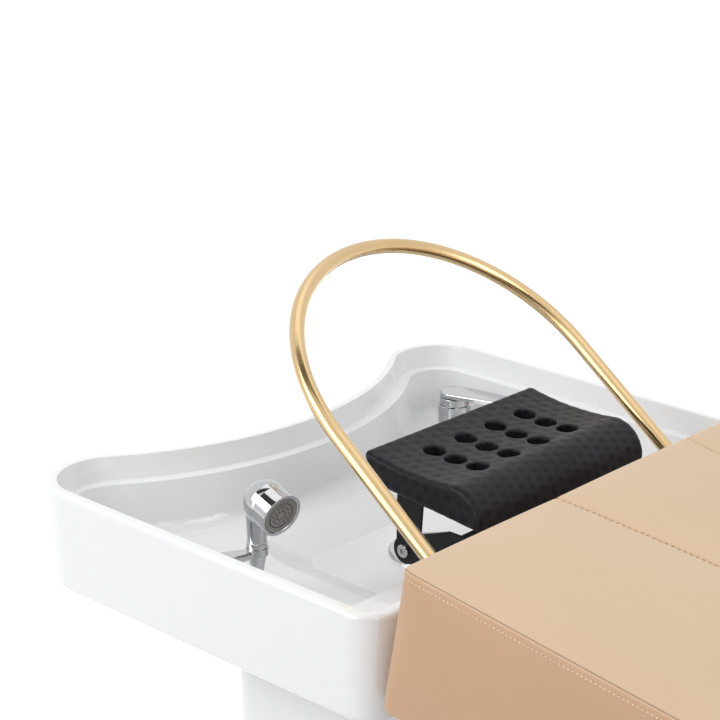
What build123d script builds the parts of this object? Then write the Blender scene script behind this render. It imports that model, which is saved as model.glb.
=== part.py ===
from build123d import *
from math import acos, atan2, cos, degrees, hypot, pi, radians, sin, tan
import os

# Hair washing bed. Millimetres, +Z up, +X from the basin to the foot end, near side at -Y.
# The origin is on the floor under the middle of the bed.
# Gaps, fits and cutting overrun
overrun = 5
running_gap = 0.05
soft_gap = 0.3
sheet_gap = 0.5
hole_gap = 0.2

# Whole bed
bed_length = 2112
rim_height = 640
head_x = -bed_length / 2
foot_x = bed_length / 2

# Basin seen from above
basin_length = 581
lobe_radius = 79
lobe_y = 306
notch_depth = 102.5
corner_radius = 40
basin_foot_half_width = 380

# Basin seen from the side
skirt_height = 130
skirt_draft = 2
skirt_foot_radius = 10
rim_width = 14
rim_radius = 6.8
ledge_drop = 30
ledge_inset = 35
ledge_draft = 10
floor_drop = 100
floor_radius = 22
wall_draft = 8
wall = 6
skirt_wall = 9
return_lip = 26
return_thickness = 6
deck_depth = 63
deck_corner_radius = 30
dish_setback = 253
dish_length = 300
dish_width = 380
dish_radius = 90
dish_shrink = 110
dish_fall = 24

# Drain
drain_radius = 42
drain_flange_radius = 52
drain_flange_thickness = 5
drain_flange_chamfer = 1.5
strainer_recess = 3
strainer_knob_round = 2
drain_throat_radius = 36
drain_throat_length = 34
strainer_radius = 40.5
strainer_thickness = 2.5
strainer_knob_radius = 7
strainer_knob_height = 9
strainer_hole_radius = 3
strainer_ring_radii = (14, 23, 32)
strainer_ring_counts = (6, 12, 16)
drain_nut_radius = 52
drain_nut_thickness = 9
waste_pipe_radius = 20
waste_wall = 2.5
trap_pipe_radius = 18.5
trap_cup_wall = 4
trap_low = 205
trap_spacing = 92
trap_bend = 42
waste_height = 300
waste_spigot_length = 40

# Pedestal
pedestal_length = 304
pedestal_width = 600
pedestal_radius = 60
pedestal_wall = 3
pedestal_flange = 12
pedestal_foot_gap = 25
pedestal_setback = 16
seal_thickness = 2
base_plate_thickness = 3
door_width = 300
door_sill = 60
door_height = 360
door_gap = 2
door_knob_radius = 13
door_knob_length = 22
door_knob_inset = 34
door_knob_neck_share = 0.5
door_knob_round = 3
hinge_radius = 5
hinge_pin_radius = 2.5
hinge_standoff = 6
hinge_leaf_width = 28
hinge_leaf_thickness = 2.5
hinge_knuckle = 18
hinge_height_shares = (0.16, 0.84)

# Levelling feet
foot_disc_radius = 22
foot_disc_thickness = 10
foot_stem_radius = 5
foot_nut_radius = 9
foot_nut_thickness = 8
foot_stem_length = 46
foot_inset = 62

# Bed frame
tube_size = 40
tube_wall = 2
rail_y = 190
cross_height = 20
cross_rail_half = 300
rail_foot_setback = 70
cross_rail_shares = (0.06, 0.48, 0.94)
brace_size = 30
brace_height = 190
end_plate_height = 44
end_plate_width = 84
end_plate_thickness = 4
frame_bolt_radius = 4
frame_bolt_head_radius = 7.2
frame_bolt_head_length = 5.5
frame_nut_length = 6.5
frame_bolt_spacing = 32
deck_thickness = 18
deck_half_width = 362
deck_head_inset = 15
deck_foot_inset = 18
deck_corner = 30
screw_radius = 2.5
screw_head_radius = 4.8
screw_head_length = 3
screw_length = 12
screw_share = 0.8

# Mattress
mattress_bottom = 538
mattress_head_rise = 174
mattress_flat_rise = 97
mattress_head_gap = 7
mattress_slope_length = 640
mattress_half_width = 376
mattress_bulge = 5
mattress_edge_radius = 24
mattress_bottom_radius = 16
mattress_crown = 9
seam_y = 125
seam_depth = 5
head_lean = 10
end_round_insets = (20, 8, 2)
end_round_steps = (0, 6, 18)
end_bottom_share = 0.5

# Water arch
arch_tube_radius = 9.5
arch_tube_wall = 1.2
arch_radius = 225.8
arch_leg = 194
arch_lean = 52.7
arch_setback = 42
arch_rise = 22.7
spray_hole_radius = 1
spray_hole_count = 19
spray_hole_spread = 118
spray_turn = 14
hub_radius = 13
hub_width = 24
hub_shoulder_height = 15
hub_spigot_length = 23
hub_bore_radius = 3.5
arch_pin_radius = 4
cheek_gap = 0.4
cheek_thickness = 6
cheek_radius = 12
bearing_base_length = 44
bearing_shift = 8
bearing_base_thickness = 5
bearing_foot = 10
arch_pin_head_radius = 7
arch_pin_head_length = 3

# Neck rest
pillow_half_width = 153
pillow_tilt = 5.6
pillow_setback = 120
pillow_rise = 19.75
pillow_depth = 186
pillow_height = 42.4
pillow_origin_share = 0.575
pillow_dip_shares = ((0, 0.88), (0.371, 0.795), (0.694, 0.958))
pillow_crown_shares = ((0.694, 0.958), (0.801, 1.0), (0.898, 0.825))
pillow_front_shares = ((0.898, 0.825), (0.969, 0.45), (0.992, 0))
pillow_under_shares = ((0.992, 0), (0.231, 0), (0.04, 0.488), (0, 0.88))
pillow_screw_pitch_x = 84
pillow_screw_pitch_y = 250
pillow_hole_radius = 13.2
pillow_hole_pitch_x = 33
pillow_hole_pitch_y = 55
pillow_hole_shift = -24
pillow_edge_radius = 6
pillow_long_radius = 4
plate_thickness = 4
plate_half_length = 60
plate_half_width = 144
plate_corner = 8
plate_window_half_length = 32
plate_window_half_width = 100
plate_window_shift = 6
arm_y = 150
arm_thickness = 4
lug_gap = 0.5
lug_half_width = 17
lug_top_shift = -38
lug_top_width = 38
lug_top_drop = 4
head_chamfer = 0.8
headrest_pivot_x = -161
headrest_pivot_z = -14.5
headrest_bolt_radius = 5
headrest_head_radius = 8
headrest_head_length = 5
headrest_nut_radius = 9
headrest_nut_length = 6
hex_socket_radius = 3
hex_socket_depth = 3
arm_nose_gap = 8
arm_top = 28
tray_inset = 5
tray_depth = 44
tray_thickness = 3
tray_lip = 16
tray_bolt_x = 30
tray_bolt_shares = (-0.75, -0.25, 0.25, 0.75)
deck_bolt_radius = 2.5
deck_bolt_head_radius = 4.6
deck_bolt_head_length = 3
deck_bolt_nut_length = 4

# Hand shower
ring_x = 303
ring_side_gap = 107.57
ring_drop = 39
ring_radius = 13.5
ring_bore_radius = 11.4
ring_height = 9
holder_arm_height = 8
holder_arm_width = 14
holder_base_width = 40
holder_base_height = 21
holder_base_thickness = 9
holder_base_round = 4
holder_reach = 66
holder_base_shift = 23
holder_base_drop = 3
holder_knee = 24
holder_chamfer = 2
collar_radius = 12.6
collar_height = 7
nut_top_radius = 11
nut_foot_radius = 7.6
nut_length = 30
hose_radius = 6.5
hose_bore_radius = 5
run_share = 0.45
face_reach = 41
face_rise = 54.6
face_yaw = -5.5
face_pitch = 15.7
head_radius = 26
head_barrel = 22
head_dome = 34
dome_share = 0.74
head_wall = 3
neck_radius = 11.6
neck_bore_radius = 8
neck_taper = 2
neck_overlap = 4
bezel_radius = 27
bezel_thickness = 4
bezel_bore_radius = 22.6
bezel_round = 1.6
spray_face_radius = 22.4
spray_face_thickness = 3
spray_face_depth = 0.8
nozzle_radius = 0.9
nozzle_ring_radii = (6, 11, 16)
nozzle_ring_counts = (6, 12, 18)
gland_radius = 15
gland_thickness = 4
gland_bore_radius = 7.2
gland_neck_radius = 10
gland_length = 22
gland_nut_radius = 15
gland_nut_thickness = 6

# Mixer
mixer_setback = 121
mixer_y = 289
mixer_radius = 23
mixer_height = 48
mixer_flange_radius = 26
mixer_flange_thickness = 3
mixer_shank_radius = 16
mixer_shank_length = 14
mixer_nut_radius = 25
mixer_nut_thickness = 6
cap_radius = 21
cap_height = 11
cap_round = 1.5
cap_spigot_radius = 14
cap_spigot_length = 8
cap_seat_gap = 0.3
lever_turn = 13
lever_gap = 1.6
lever_thickness = 7
lever_round = 2.5
lever_radius = 21
lever_reach = 92
lever_tip_radius = 15
lever_pin_radius = 1.5
lever_pin_back = 15
lever_pin_drop = 6
lever_ear_width = 10
lever_ear_length = 5
lever_ear_drop = 2.5
lever_slot_gap = 1
lever_slot_side = 3
lever_pin_half = 13
dot_radius = 3
dot_length = 5

# Water pipes
manifold_half_length = 20
manifold_half_width = 21
manifold_round = 4
manifold_height = 14
pipe_radius = 5
pipe_wall = 1
pipe_spacing = 15
pipe_bend = 18
pipe_first_run = 40
pipe_shift = 60
pipe_down_inset = 34
inlet_height = 130
inlet_spacing = 70
inlet_radius = 10.5
inlet_length = 30
inlet_shank_radius = 12
inlet_nut_radius = 17
inlet_nut_thickness = 6
inlet_bore_radius = 7
diverter_width = 34
diverter_half_length = 15
diverter_height = 60
diverter_depth = 30
diverter_foot = 24
diverter_y = -130
diverter_top = 470
diverter_port_radius = 8
diverter_port_length = 14
feed_turn_z = 556

# Hose route inside the pedestal
hose_points = (
    (-753, -275, 478),
    (-750, -273, 372),
    (-735, -264, 275),
    (-695, -240, 205),
    (-640, -206, 176),
    (-583, -172, 198),
    (-543, -145, 258),
    (-524, -130, 330),
)

# Worked out from the sizes above
basin_foot_x = head_x + basin_length
skirt_foot = rim_height - skirt_height
ledge_z = rim_height - ledge_drop
floor_z = rim_height - floor_drop
lobe_x = head_x + lobe_radius
notch_x = head_x + notch_depth
notch_radius = (notch_depth**2 + lobe_y**2) / (2 * notch_depth) - lobe_radius
notch_centre_x = notch_x - notch_radius
corner_x = basin_foot_x - corner_radius
corner_y = basin_foot_half_width - corner_radius
deck_x = basin_foot_x - ledge_inset - deck_depth + rim_width
dish_x = basin_foot_x - dish_setback
dish_foot_z = floor_z - dish_fall
pedestal_x = basin_foot_x - pedestal_setback - pedestal_length / 2
pedestal_head_x = pedestal_x - pedestal_length / 2
pedestal_foot_x = pedestal_x + pedestal_length / 2
pedestal_top = skirt_foot - seal_thickness
arch_x = basin_foot_x - arch_setback
arch_z = ledge_z + arch_rise
mattress_head_x = basin_foot_x + mattress_head_gap
rail_top = mattress_bottom - deck_thickness - cross_height
rail_z = rail_top - tube_size / 2
rail_length = foot_x - rail_foot_setback - pedestal_foot_x
headrest_x = basin_foot_x + headrest_pivot_x
headrest_z = ledge_z + headrest_pivot_z
handset_x = head_x + ring_x
deck_bottom = mattress_bottom - deck_thickness
handset_z = rim_height - ring_drop
mixer_x = head_x + mixer_setback
mixer_top = floor_z + mixer_height
sides = (("near", -1), ("far", 1))
port_x = pedestal_foot_x - pedestal_wall - diverter_depth
tray_x = deck_x + tray_inset
bearing_base_x = arch_x - bearing_shift
bolt_reach = hub_width / 2 + cheek_gap + cheek_thickness + bearing_foot / 2
deck_bolt_points = [(tray_x + tray_bolt_x, share * arm_y, tray_thickness) for share in tray_bolt_shares]
for label, side in sides:
    for step in (-1, 1):
        bolt_y = side * arch_radius + step * bolt_reach
        deck_bolt_points.append((bearing_base_x, bolt_y, bearing_base_thickness))


# Rim of the basin seen from above: notch for the stylist, two lobes, tapering sides, round foot corners
lobe_bearing = degrees(atan2(lobe_y, lobe_x - notch_centre_x))
side_run = hypot(corner_x - lobe_x, corner_y - lobe_y)
side_fall = degrees(atan2(corner_y - lobe_y, corner_x - lobe_x))
side_bearing = side_fall + degrees(acos((lobe_radius - corner_radius) / side_run))
side_normal = Vector(cos(radians(side_bearing)), sin(radians(side_bearing)))
side_start = Vector(lobe_x, lobe_y) + side_normal * lobe_radius
side_end = Vector(corner_x, corner_y) + side_normal * corner_radius
side_slope = (side_end.Y - side_start.Y) / (side_end.X - side_start.X)
handset_y = ring_side_gap / side_normal.Y - side_start.Y - (handset_x - side_start.X) * side_slope


def inset_plan(inset):
    """Outline of the rim drawn in by a distance all round."""
    with BuildSketch() as plan:
        with BuildLine():
            CenterArc((notch_centre_x, 0), notch_radius + inset, 0, lobe_bearing)
            CenterArc(
                (lobe_x, lobe_y), lobe_radius - inset, lobe_bearing + 180, side_bearing - lobe_bearing - 180
            )
            Line(side_start - side_normal * inset, side_end - side_normal * inset)
            CenterArc((corner_x, corner_y), corner_radius - inset, side_bearing, -side_bearing)
            Line((basin_foot_x - inset, corner_y), (basin_foot_x - inset, 0))
            mirror(about=Plane.XZ)
        make_face()
    return plan.sketch


def deep_plan(inset, deck_edge, corner):
    """Rim plan drawn in, and cut off where the tap deck at the foot end begins."""
    with BuildSketch() as plan:
        add(inset_plan(inset))
        with Locations((deck_edge, 0)):
            Rectangle(bed_length, bed_length, align=(Align.MIN, Align.CENTER), mode=Mode.SUBTRACT)
        fillet(plan.vertices().group_by(Axis.X)[-1], corner)
    return plan.sketch


# Basin shell: skirt, rim, ledge, walls, floor with a shallow dish, holes for drain, mixer and hose
with BuildPart() as basin_shell:
    with BuildSketch(Plane.XY.offset(rim_height)):
        add(inset_plan(0))
    extrude(amount=-skirt_height, taper=skirt_draft)
    fillet(basin_shell.edges().group_by(Axis.Z)[0], skirt_foot_radius)
    fillet(basin_shell.edges().group_by(Axis.Z)[-1], rim_radius)
    with BuildSketch(Plane.XY.offset(skirt_foot)):
        add(inset_plan(return_lip))
    extrude(amount=return_thickness, mode=Mode.SUBTRACT)
    with BuildSketch(Plane.XY.offset(skirt_foot + return_thickness)):
        add(inset_plan(skirt_wall + skirt_height * tan(radians(skirt_draft))))
    extrude(amount=skirt_height - return_thickness - ledge_drop - wall, mode=Mode.SUBTRACT)
    with BuildSketch(Plane.XY.offset(ledge_z)):
        add(deep_plan(ledge_inset - wall, deck_x + wall, deck_corner_radius + wall))
    extrude(amount=ledge_drop - floor_drop - wall, taper=wall_draft)
    with BuildSketch(Plane(origin=(dish_x, 0, floor_z))):
        RectangleRounded(dish_length + 2 * wall, dish_width + 2 * wall, dish_radius + wall)
    with BuildSketch(Plane(origin=(dish_x, 0, dish_foot_z - wall))):
        RectangleRounded(
            dish_length - dish_shrink + 2 * wall,
            dish_width - dish_shrink + 2 * wall,
            dish_radius - dish_shrink / 2 + wall,
        )
    loft()
    with BuildSketch(Plane.XY.offset(rim_height)):
        add(inset_plan(rim_width))
    extrude(amount=-ledge_drop, taper=ledge_draft, mode=Mode.SUBTRACT)
    with BuildSketch(Plane.XY.offset(ledge_z)):
        add(deep_plan(ledge_inset, deck_x, deck_corner_radius))
    extrude(amount=ledge_drop - floor_drop, taper=wall_draft, mode=Mode.SUBTRACT)
    fillet(basin_shell.edges(Select.LAST).group_by(Axis.Z)[0], floor_radius)
    with BuildSketch(Plane(origin=(dish_x, 0, floor_z))):
        RectangleRounded(dish_length, dish_width, dish_radius)
    with BuildSketch(Plane(origin=(dish_x, 0, dish_foot_z))):
        RectangleRounded(
            dish_length - dish_shrink,
            dish_width - dish_shrink,
            dish_radius - dish_shrink / 2,
        )
    loft(mode=Mode.SUBTRACT)
    with Locations((dish_x, 0, dish_foot_z)):
        Hole(drain_radius)
    with Locations((mixer_x, mixer_y, floor_z)):
        Hole(mixer_shank_radius + hole_gap)
    with Locations((handset_x, handset_y, floor_z)):
        Hole(gland_neck_radius + hole_gap)
    with Locations(*[(bolt_x, bolt_y, ledge_z) for bolt_x, bolt_y, seat in deck_bolt_points]):
        Hole(deck_bolt_radius + hole_gap)
    with Locations((port_x, -arch_radius, ledge_z)):
        Hole(pipe_radius + hole_gap)


# Drain: flange on the dish floor, strainer that lifts out, nut under the floor
strainer_z = dish_foot_z + drain_flange_thickness - strainer_recess
drain_foot_z = dish_foot_z - drain_throat_length

with BuildPart() as drain_flange:
    with BuildSketch(Plane(origin=(dish_x, 0, dish_foot_z))):
        Circle(drain_flange_radius)
    extrude(amount=drain_flange_thickness)
    chamfer(drain_flange.edges().group_by(Axis.Z)[-1], drain_flange_chamfer)
    with BuildSketch(Plane(origin=(dish_x, 0, dish_foot_z))):
        Circle(drain_radius - hole_gap)
    extrude(amount=-drain_throat_length)
    with BuildSketch(Plane(origin=(dish_x, 0, strainer_z))):
        Circle(strainer_radius + soft_gap)
    extrude(amount=strainer_recess, mode=Mode.SUBTRACT)
    with BuildSketch(Plane(origin=(dish_x, 0, strainer_z))):
        Circle(drain_throat_radius)
    extrude(amount=-bed_length, mode=Mode.SUBTRACT)

with BuildPart() as drain_strainer:
    with BuildSketch(Plane(origin=(dish_x, 0, strainer_z))):
        Circle(strainer_radius)
        for ring_radius_here, count in zip(strainer_ring_radii, strainer_ring_counts):
            with PolarLocations(ring_radius_here, count):
                Circle(strainer_hole_radius, mode=Mode.SUBTRACT)
    extrude(amount=strainer_thickness)
    with BuildSketch(Plane(origin=(dish_x, 0, strainer_z + strainer_thickness))):
        Circle(strainer_knob_radius)
    extrude(amount=strainer_knob_height)
    fillet(drain_strainer.edges().group_by(Axis.Z)[-1], strainer_knob_round)

with BuildPart() as drain_nut:
    with BuildSketch(Plane(origin=(dish_x, 0, dish_foot_z - wall))):
        RegularPolygon(drain_nut_radius, 8)
        Circle(drain_radius, mode=Mode.SUBTRACT)
    extrude(amount=-drain_nut_thickness)

# Trap: cup round the drain throat, U bend, outlet through the pedestal's rear wall with a wider spigot end
rear_plane = Plane(origin=(pedestal_foot_x, 0, 0), x_dir=(0, 1, 0), z_dir=(1, 0, 0))
trap_top = dish_foot_z - wall - drain_nut_thickness - sheet_gap
trap_floor = drain_foot_z - soft_gap
with BuildLine() as trap_route:
    FilletPolyline(
        (dish_x, 0, trap_floor - trap_cup_wall),
        (dish_x, 0, trap_low),
        (dish_x + trap_spacing, 0, trap_low),
        (dish_x + trap_spacing, 0, waste_height),
        (pedestal_foot_x + waste_spigot_length, 0, waste_height),
        radius=trap_bend,
    )

with BuildPart() as trap_cup:
    with BuildSketch(Plane(origin=(dish_x, 0, trap_floor - trap_cup_wall))):
        Circle(drain_radius + trap_cup_wall)
        Circle(trap_pipe_radius - waste_wall, mode=Mode.SUBTRACT)
    extrude(amount=trap_top - trap_floor + trap_cup_wall)
    with BuildSketch(Plane(origin=(dish_x, 0, trap_floor))):
        Circle(drain_radius)
    extrude(amount=bed_length, mode=Mode.SUBTRACT)

with BuildPart() as drain_trap:
    with BuildSketch(Plane(origin=(dish_x, 0, trap_floor - trap_cup_wall), z_dir=(0, 0, -1))):
        Circle(trap_pipe_radius)
    sweep(path=trap_route.line)
    with BuildSketch(rear_plane.offset(sheet_gap)):
        with Locations((0, waste_height)):
            Circle(waste_pipe_radius)
    extrude(amount=waste_spigot_length - sheet_gap)
    with BuildSketch(Plane(origin=(dish_x, 0, trap_floor - trap_cup_wall), z_dir=(0, 0, -1))):
        Circle(trap_pipe_radius - waste_wall)
    sweep(path=trap_route.line, mode=Mode.SUBTRACT)

# Pedestal: folded sheet box, flange on top, door opening at the head, holes for pipes and bolts at the rear
door_x = pedestal_head_x
door_z = pedestal_foot_gap + door_sill + door_height / 2
inlet_points = [(-inlet_spacing, inlet_height), (inlet_spacing, inlet_height)]
frame_bolt_points = [
    (side * rail_y + step * frame_bolt_spacing, rail_z) for label, side in sides for step in (-1, 1)
]

with BuildPart() as pedestal_shell:
    with BuildSketch(Plane(origin=(pedestal_x, 0, pedestal_foot_gap))):
        RectangleRounded(pedestal_length, pedestal_width, pedestal_radius)
    extrude(amount=pedestal_top - pedestal_foot_gap)
    with BuildSketch(Plane(origin=(pedestal_x, 0, pedestal_foot_gap))):
        RectangleRounded(
            pedestal_length - 2 * pedestal_wall,
            pedestal_width - 2 * pedestal_wall,
            pedestal_radius - pedestal_wall,
        )
    extrude(amount=pedestal_top - pedestal_foot_gap - pedestal_wall, mode=Mode.SUBTRACT)
    with BuildSketch(Plane(origin=(pedestal_x, 0, pedestal_top))):
        RectangleRounded(
            pedestal_length - 2 * pedestal_flange,
            pedestal_width - 2 * pedestal_flange,
            pedestal_radius - pedestal_flange,
        )
    extrude(amount=-pedestal_flange, mode=Mode.SUBTRACT)
    with BuildSketch(Plane(origin=(door_x, 0, door_z), x_dir=(0, 1, 0), z_dir=(1, 0, 0))):
        Rectangle(door_width, door_height)
    extrude(amount=pedestal_flange, mode=Mode.SUBTRACT)
    with BuildSketch(rear_plane):
        with Locations((0, waste_height)):
            Circle(waste_pipe_radius + sheet_gap)
        with Locations(*inlet_points):
            Circle(inlet_shank_radius + hole_gap)
        with Locations(*frame_bolt_points):
            Circle(frame_bolt_radius + hole_gap)
    extrude(amount=-pedestal_flange, mode=Mode.SUBTRACT)

with BuildPart() as basin_seal:
    with BuildSketch(Plane(origin=(pedestal_x, 0, pedestal_top))):
        RectangleRounded(pedestal_length, pedestal_width, pedestal_radius)
        RectangleRounded(
            pedestal_length - 2 * pedestal_flange,
            pedestal_width - 2 * pedestal_flange,
            pedestal_radius - pedestal_flange,
            mode=Mode.SUBTRACT,
        )
    extrude(amount=seal_thickness)

foot_x_near_head = pedestal_length / 2 - foot_inset
foot_y_on_pedestal = pedestal_width / 2 - foot_inset
pedestal_foot_points = [
    (pedestal_x + step * foot_x_near_head, side * foot_y_on_pedestal)
    for step in (-1, 1)
    for label, side in sides
]

with BuildPart() as base_plate:
    with BuildSketch(Plane(origin=(pedestal_x, 0, pedestal_foot_gap))):
        RectangleRounded(
            pedestal_length - 2 * pedestal_wall - soft_gap,
            pedestal_width - 2 * pedestal_wall - soft_gap,
            pedestal_radius - pedestal_wall,
        )
    extrude(amount=base_plate_thickness)
    with BuildSketch(Plane.XY.offset(pedestal_foot_gap)):
        with Locations(*pedestal_foot_points):
            Circle(foot_stem_radius + hole_gap)
    extrude(amount=base_plate_thickness, mode=Mode.SUBTRACT)

# Pedestal door: panel flush in its opening, hinge leaves with knuckles outside, turned knob
hinge_x = door_x - hinge_standoff
hinge_y = door_width / 2 + door_gap / 2
door_half_height = door_height / 2 - door_gap
hinge_heights = [door_z - door_height / 2 + share * door_height for share in hinge_height_shares]

with BuildPart() as pedestal_door:
    with BuildSketch(Plane(origin=(door_x, 0, door_z), x_dir=(0, 1, 0), z_dir=(1, 0, 0))):
        Rectangle(door_width - 2 * door_gap, 2 * door_half_height)
    extrude(amount=pedestal_wall)
    for height in hinge_heights:
        with BuildSketch(Plane(origin=(hinge_x, hinge_y, height))):
            Circle(hinge_radius)
        extrude(amount=hinge_knuckle)
        with BuildSketch(Plane(origin=(door_x, hinge_y, height))):
            with Locations((-hinge_leaf_thickness / 2, -hinge_leaf_width / 2)):
                Rectangle(hinge_leaf_thickness, hinge_leaf_width)
            with Locations((-hinge_standoff / 2, -hinge_radius / 2)):
                Rectangle(hinge_standoff, hinge_leaf_thickness)
        extrude(amount=hinge_knuckle)
        with BuildSketch(Plane(origin=(hinge_x, hinge_y, height))):
            Circle(hinge_pin_radius + running_gap)
        extrude(amount=hinge_knuckle, mode=Mode.SUBTRACT)

with BuildPart() as door_hinges:
    for height in hinge_heights:
        with BuildSketch(Plane(origin=(hinge_x, hinge_y, height - sheet_gap))):
            Circle(hinge_radius)
        extrude(amount=-hinge_knuckle)
        with BuildSketch(Plane(origin=(door_x, hinge_y, height - sheet_gap))):
            with Locations((-hinge_leaf_thickness / 2, hinge_leaf_width / 2)):
                Rectangle(hinge_leaf_thickness, hinge_leaf_width)
            with Locations((-hinge_standoff / 2, hinge_radius / 2)):
                Rectangle(hinge_standoff, hinge_leaf_thickness)
        extrude(amount=-hinge_knuckle)
        with BuildSketch(Plane(origin=(hinge_x, hinge_y, height - sheet_gap))):
            Circle(hinge_pin_radius)
        extrude(amount=hinge_knuckle + sheet_gap)

with BuildPart() as door_knob:
    with BuildSketch(
        Plane(
            origin=(door_x, door_knob_inset - door_width / 2, door_z),
            x_dir=(0, 1, 0),
            z_dir=(-1, 0, 0),
        )
    ):
        Circle(door_knob_radius * door_knob_neck_share)
    extrude(amount=door_knob_length)
    with BuildSketch(
        Plane(
            origin=(door_x - door_knob_length, door_knob_inset - door_width / 2, door_z),
            x_dir=(0, 1, 0),
            z_dir=(1, 0, 0),
        )
    ):
        Circle(door_knob_radius)
    extrude(amount=door_knob_length / 2)
    fillet(door_knob.edges().group_by(Axis.X)[0], door_knob_round)

# Bed frame: side rails bolted to the pedestal, cross rails on top, legs and a brace at the foot end
rail_start = pedestal_foot_x
cross_rail_xs = [rail_start + share * rail_length for share in cross_rail_shares]
leg_x = cross_rail_xs[-1]


def tube_section(width, height):
    """Square tube section in the sketch that calls it."""
    Rectangle(width, height)
    Rectangle(width - 2 * tube_wall, height - 2 * tube_wall, mode=Mode.SUBTRACT)


side_rails = {}
for label, side in sides:
    with BuildPart() as side_rail:
        with BuildSketch(Plane(origin=(rail_start, side * rail_y, rail_z), x_dir=(0, 1, 0), z_dir=(1, 0, 0))):
            tube_section(tube_size, tube_size)
        extrude(amount=rail_length)
        with BuildSketch(rear_plane):
            with Locations((side * rail_y, rail_z)):
                Rectangle(end_plate_width, end_plate_height)
            with Locations(*frame_bolt_points):
                Circle(frame_bolt_radius + hole_gap, mode=Mode.SUBTRACT)
        extrude(amount=end_plate_thickness)
    side_rails[f"side_rail_{label}"] = side_rail

screw_y = screw_share * (rail_y - tube_size / 2)
cross_rails = {}
for label, cross_x in zip(("head", "middle", "foot"), cross_rail_xs):
    with BuildPart() as cross_rail:
        cross_origin = (cross_x, 0, rail_top + cross_height / 2)
        with BuildSketch(Plane(origin=cross_origin, x_dir=(1, 0, 0), z_dir=(0, 1, 0))):
            tube_section(tube_size, cross_height)
        extrude(amount=cross_rail_half, both=True)
        with BuildSketch(Plane(origin=(cross_x, 0, rail_top))):
            with Locations((0, -screw_y), (0, screw_y)):
                Circle(screw_radius + hole_gap)
        extrude(amount=cross_height, mode=Mode.SUBTRACT)
    cross_rails[f"cross_rail_{label}"] = cross_rail

leg_y = cross_rail_half - tube_size / 2
legs = {}
for label, side in sides:
    with BuildPart() as leg:
        with BuildSketch(Plane(origin=(leg_x, side * leg_y, pedestal_foot_gap))):
            Rectangle(tube_size, tube_size)
        extrude(amount=rail_top - pedestal_foot_gap)
        with BuildSketch(Plane(origin=(leg_x, side * leg_y, pedestal_foot_gap + base_plate_thickness))):
            Rectangle(tube_size - 2 * tube_wall, tube_size - 2 * tube_wall)
        extrude(amount=rail_top - pedestal_foot_gap, mode=Mode.SUBTRACT)
        with BuildSketch(Plane(origin=(leg_x, side * leg_y, pedestal_foot_gap))):
            Circle(foot_stem_radius + hole_gap)
        extrude(amount=base_plate_thickness, mode=Mode.SUBTRACT)
    legs[f"leg_{label}"] = leg

with BuildPart() as leg_brace:
    with BuildSketch(Plane(origin=(leg_x, 0, brace_height), x_dir=(1, 0, 0), z_dir=(0, 1, 0))):
        tube_section(brace_size, brace_size)
    extrude(amount=leg_y - tube_size / 2, both=True)

with BuildPart() as levelling_feet:
    foot_points = pedestal_foot_points + [(leg_x, side * leg_y) for label, side in sides]
    with BuildSketch():
        with Locations(*foot_points):
            Circle(foot_disc_radius)
    extrude(amount=foot_disc_thickness)
    with BuildSketch():
        with Locations(*foot_points):
            Circle(foot_stem_radius)
    extrude(amount=foot_stem_length)
    with BuildSketch(Plane.XY.offset(pedestal_foot_gap)):
        with Locations(*foot_points):
            RegularPolygon(foot_nut_radius, 6)
    extrude(amount=-foot_nut_thickness)

with BuildPart() as frame_bolts:
    with BuildSketch(rear_plane.offset(end_plate_thickness)):
        with Locations(*frame_bolt_points):
            RegularPolygon(frame_bolt_head_radius, 6)
    extrude(amount=frame_bolt_head_length)
    with BuildSketch(rear_plane.offset(end_plate_thickness)):
        with Locations(*frame_bolt_points):
            Circle(frame_bolt_radius)
    extrude(amount=-end_plate_thickness - pedestal_wall - frame_nut_length)
    with BuildSketch(rear_plane.offset(-pedestal_wall)):
        with Locations(*frame_bolt_points):
            RegularPolygon(frame_bolt_head_radius, 6)
    extrude(amount=-frame_nut_length)

with BuildPart() as deck_board:
    with BuildSketch(Plane(origin=(0, 0, deck_bottom))):
        with Locations(((mattress_head_x + deck_head_inset + foot_x - deck_foot_inset) / 2, 0)):
            RectangleRounded(
                foot_x - deck_foot_inset - mattress_head_x - deck_head_inset,
                2 * deck_half_width,
                deck_corner,
            )
    extrude(amount=deck_thickness)
    with BuildSketch(Plane(origin=(0, 0, deck_bottom))):
        with Locations(*[(cross_x, side * screw_y) for cross_x in cross_rail_xs for label, side in sides]):
            Circle(screw_radius)
    extrude(amount=screw_length, mode=Mode.SUBTRACT)

with BuildPart() as deck_screws:
    screw_points = [(cross_x, side * screw_y) for cross_x in cross_rail_xs for label, side in sides]
    with BuildSketch(Plane.XY.offset(rail_top)):
        with Locations(*screw_points):
            Circle(screw_head_radius)
    extrude(amount=-screw_head_length)
    with BuildSketch(Plane.XY.offset(rail_top)):
        with Locations(*screw_points):
            Circle(screw_radius)
    extrude(amount=cross_height + screw_length)


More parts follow.
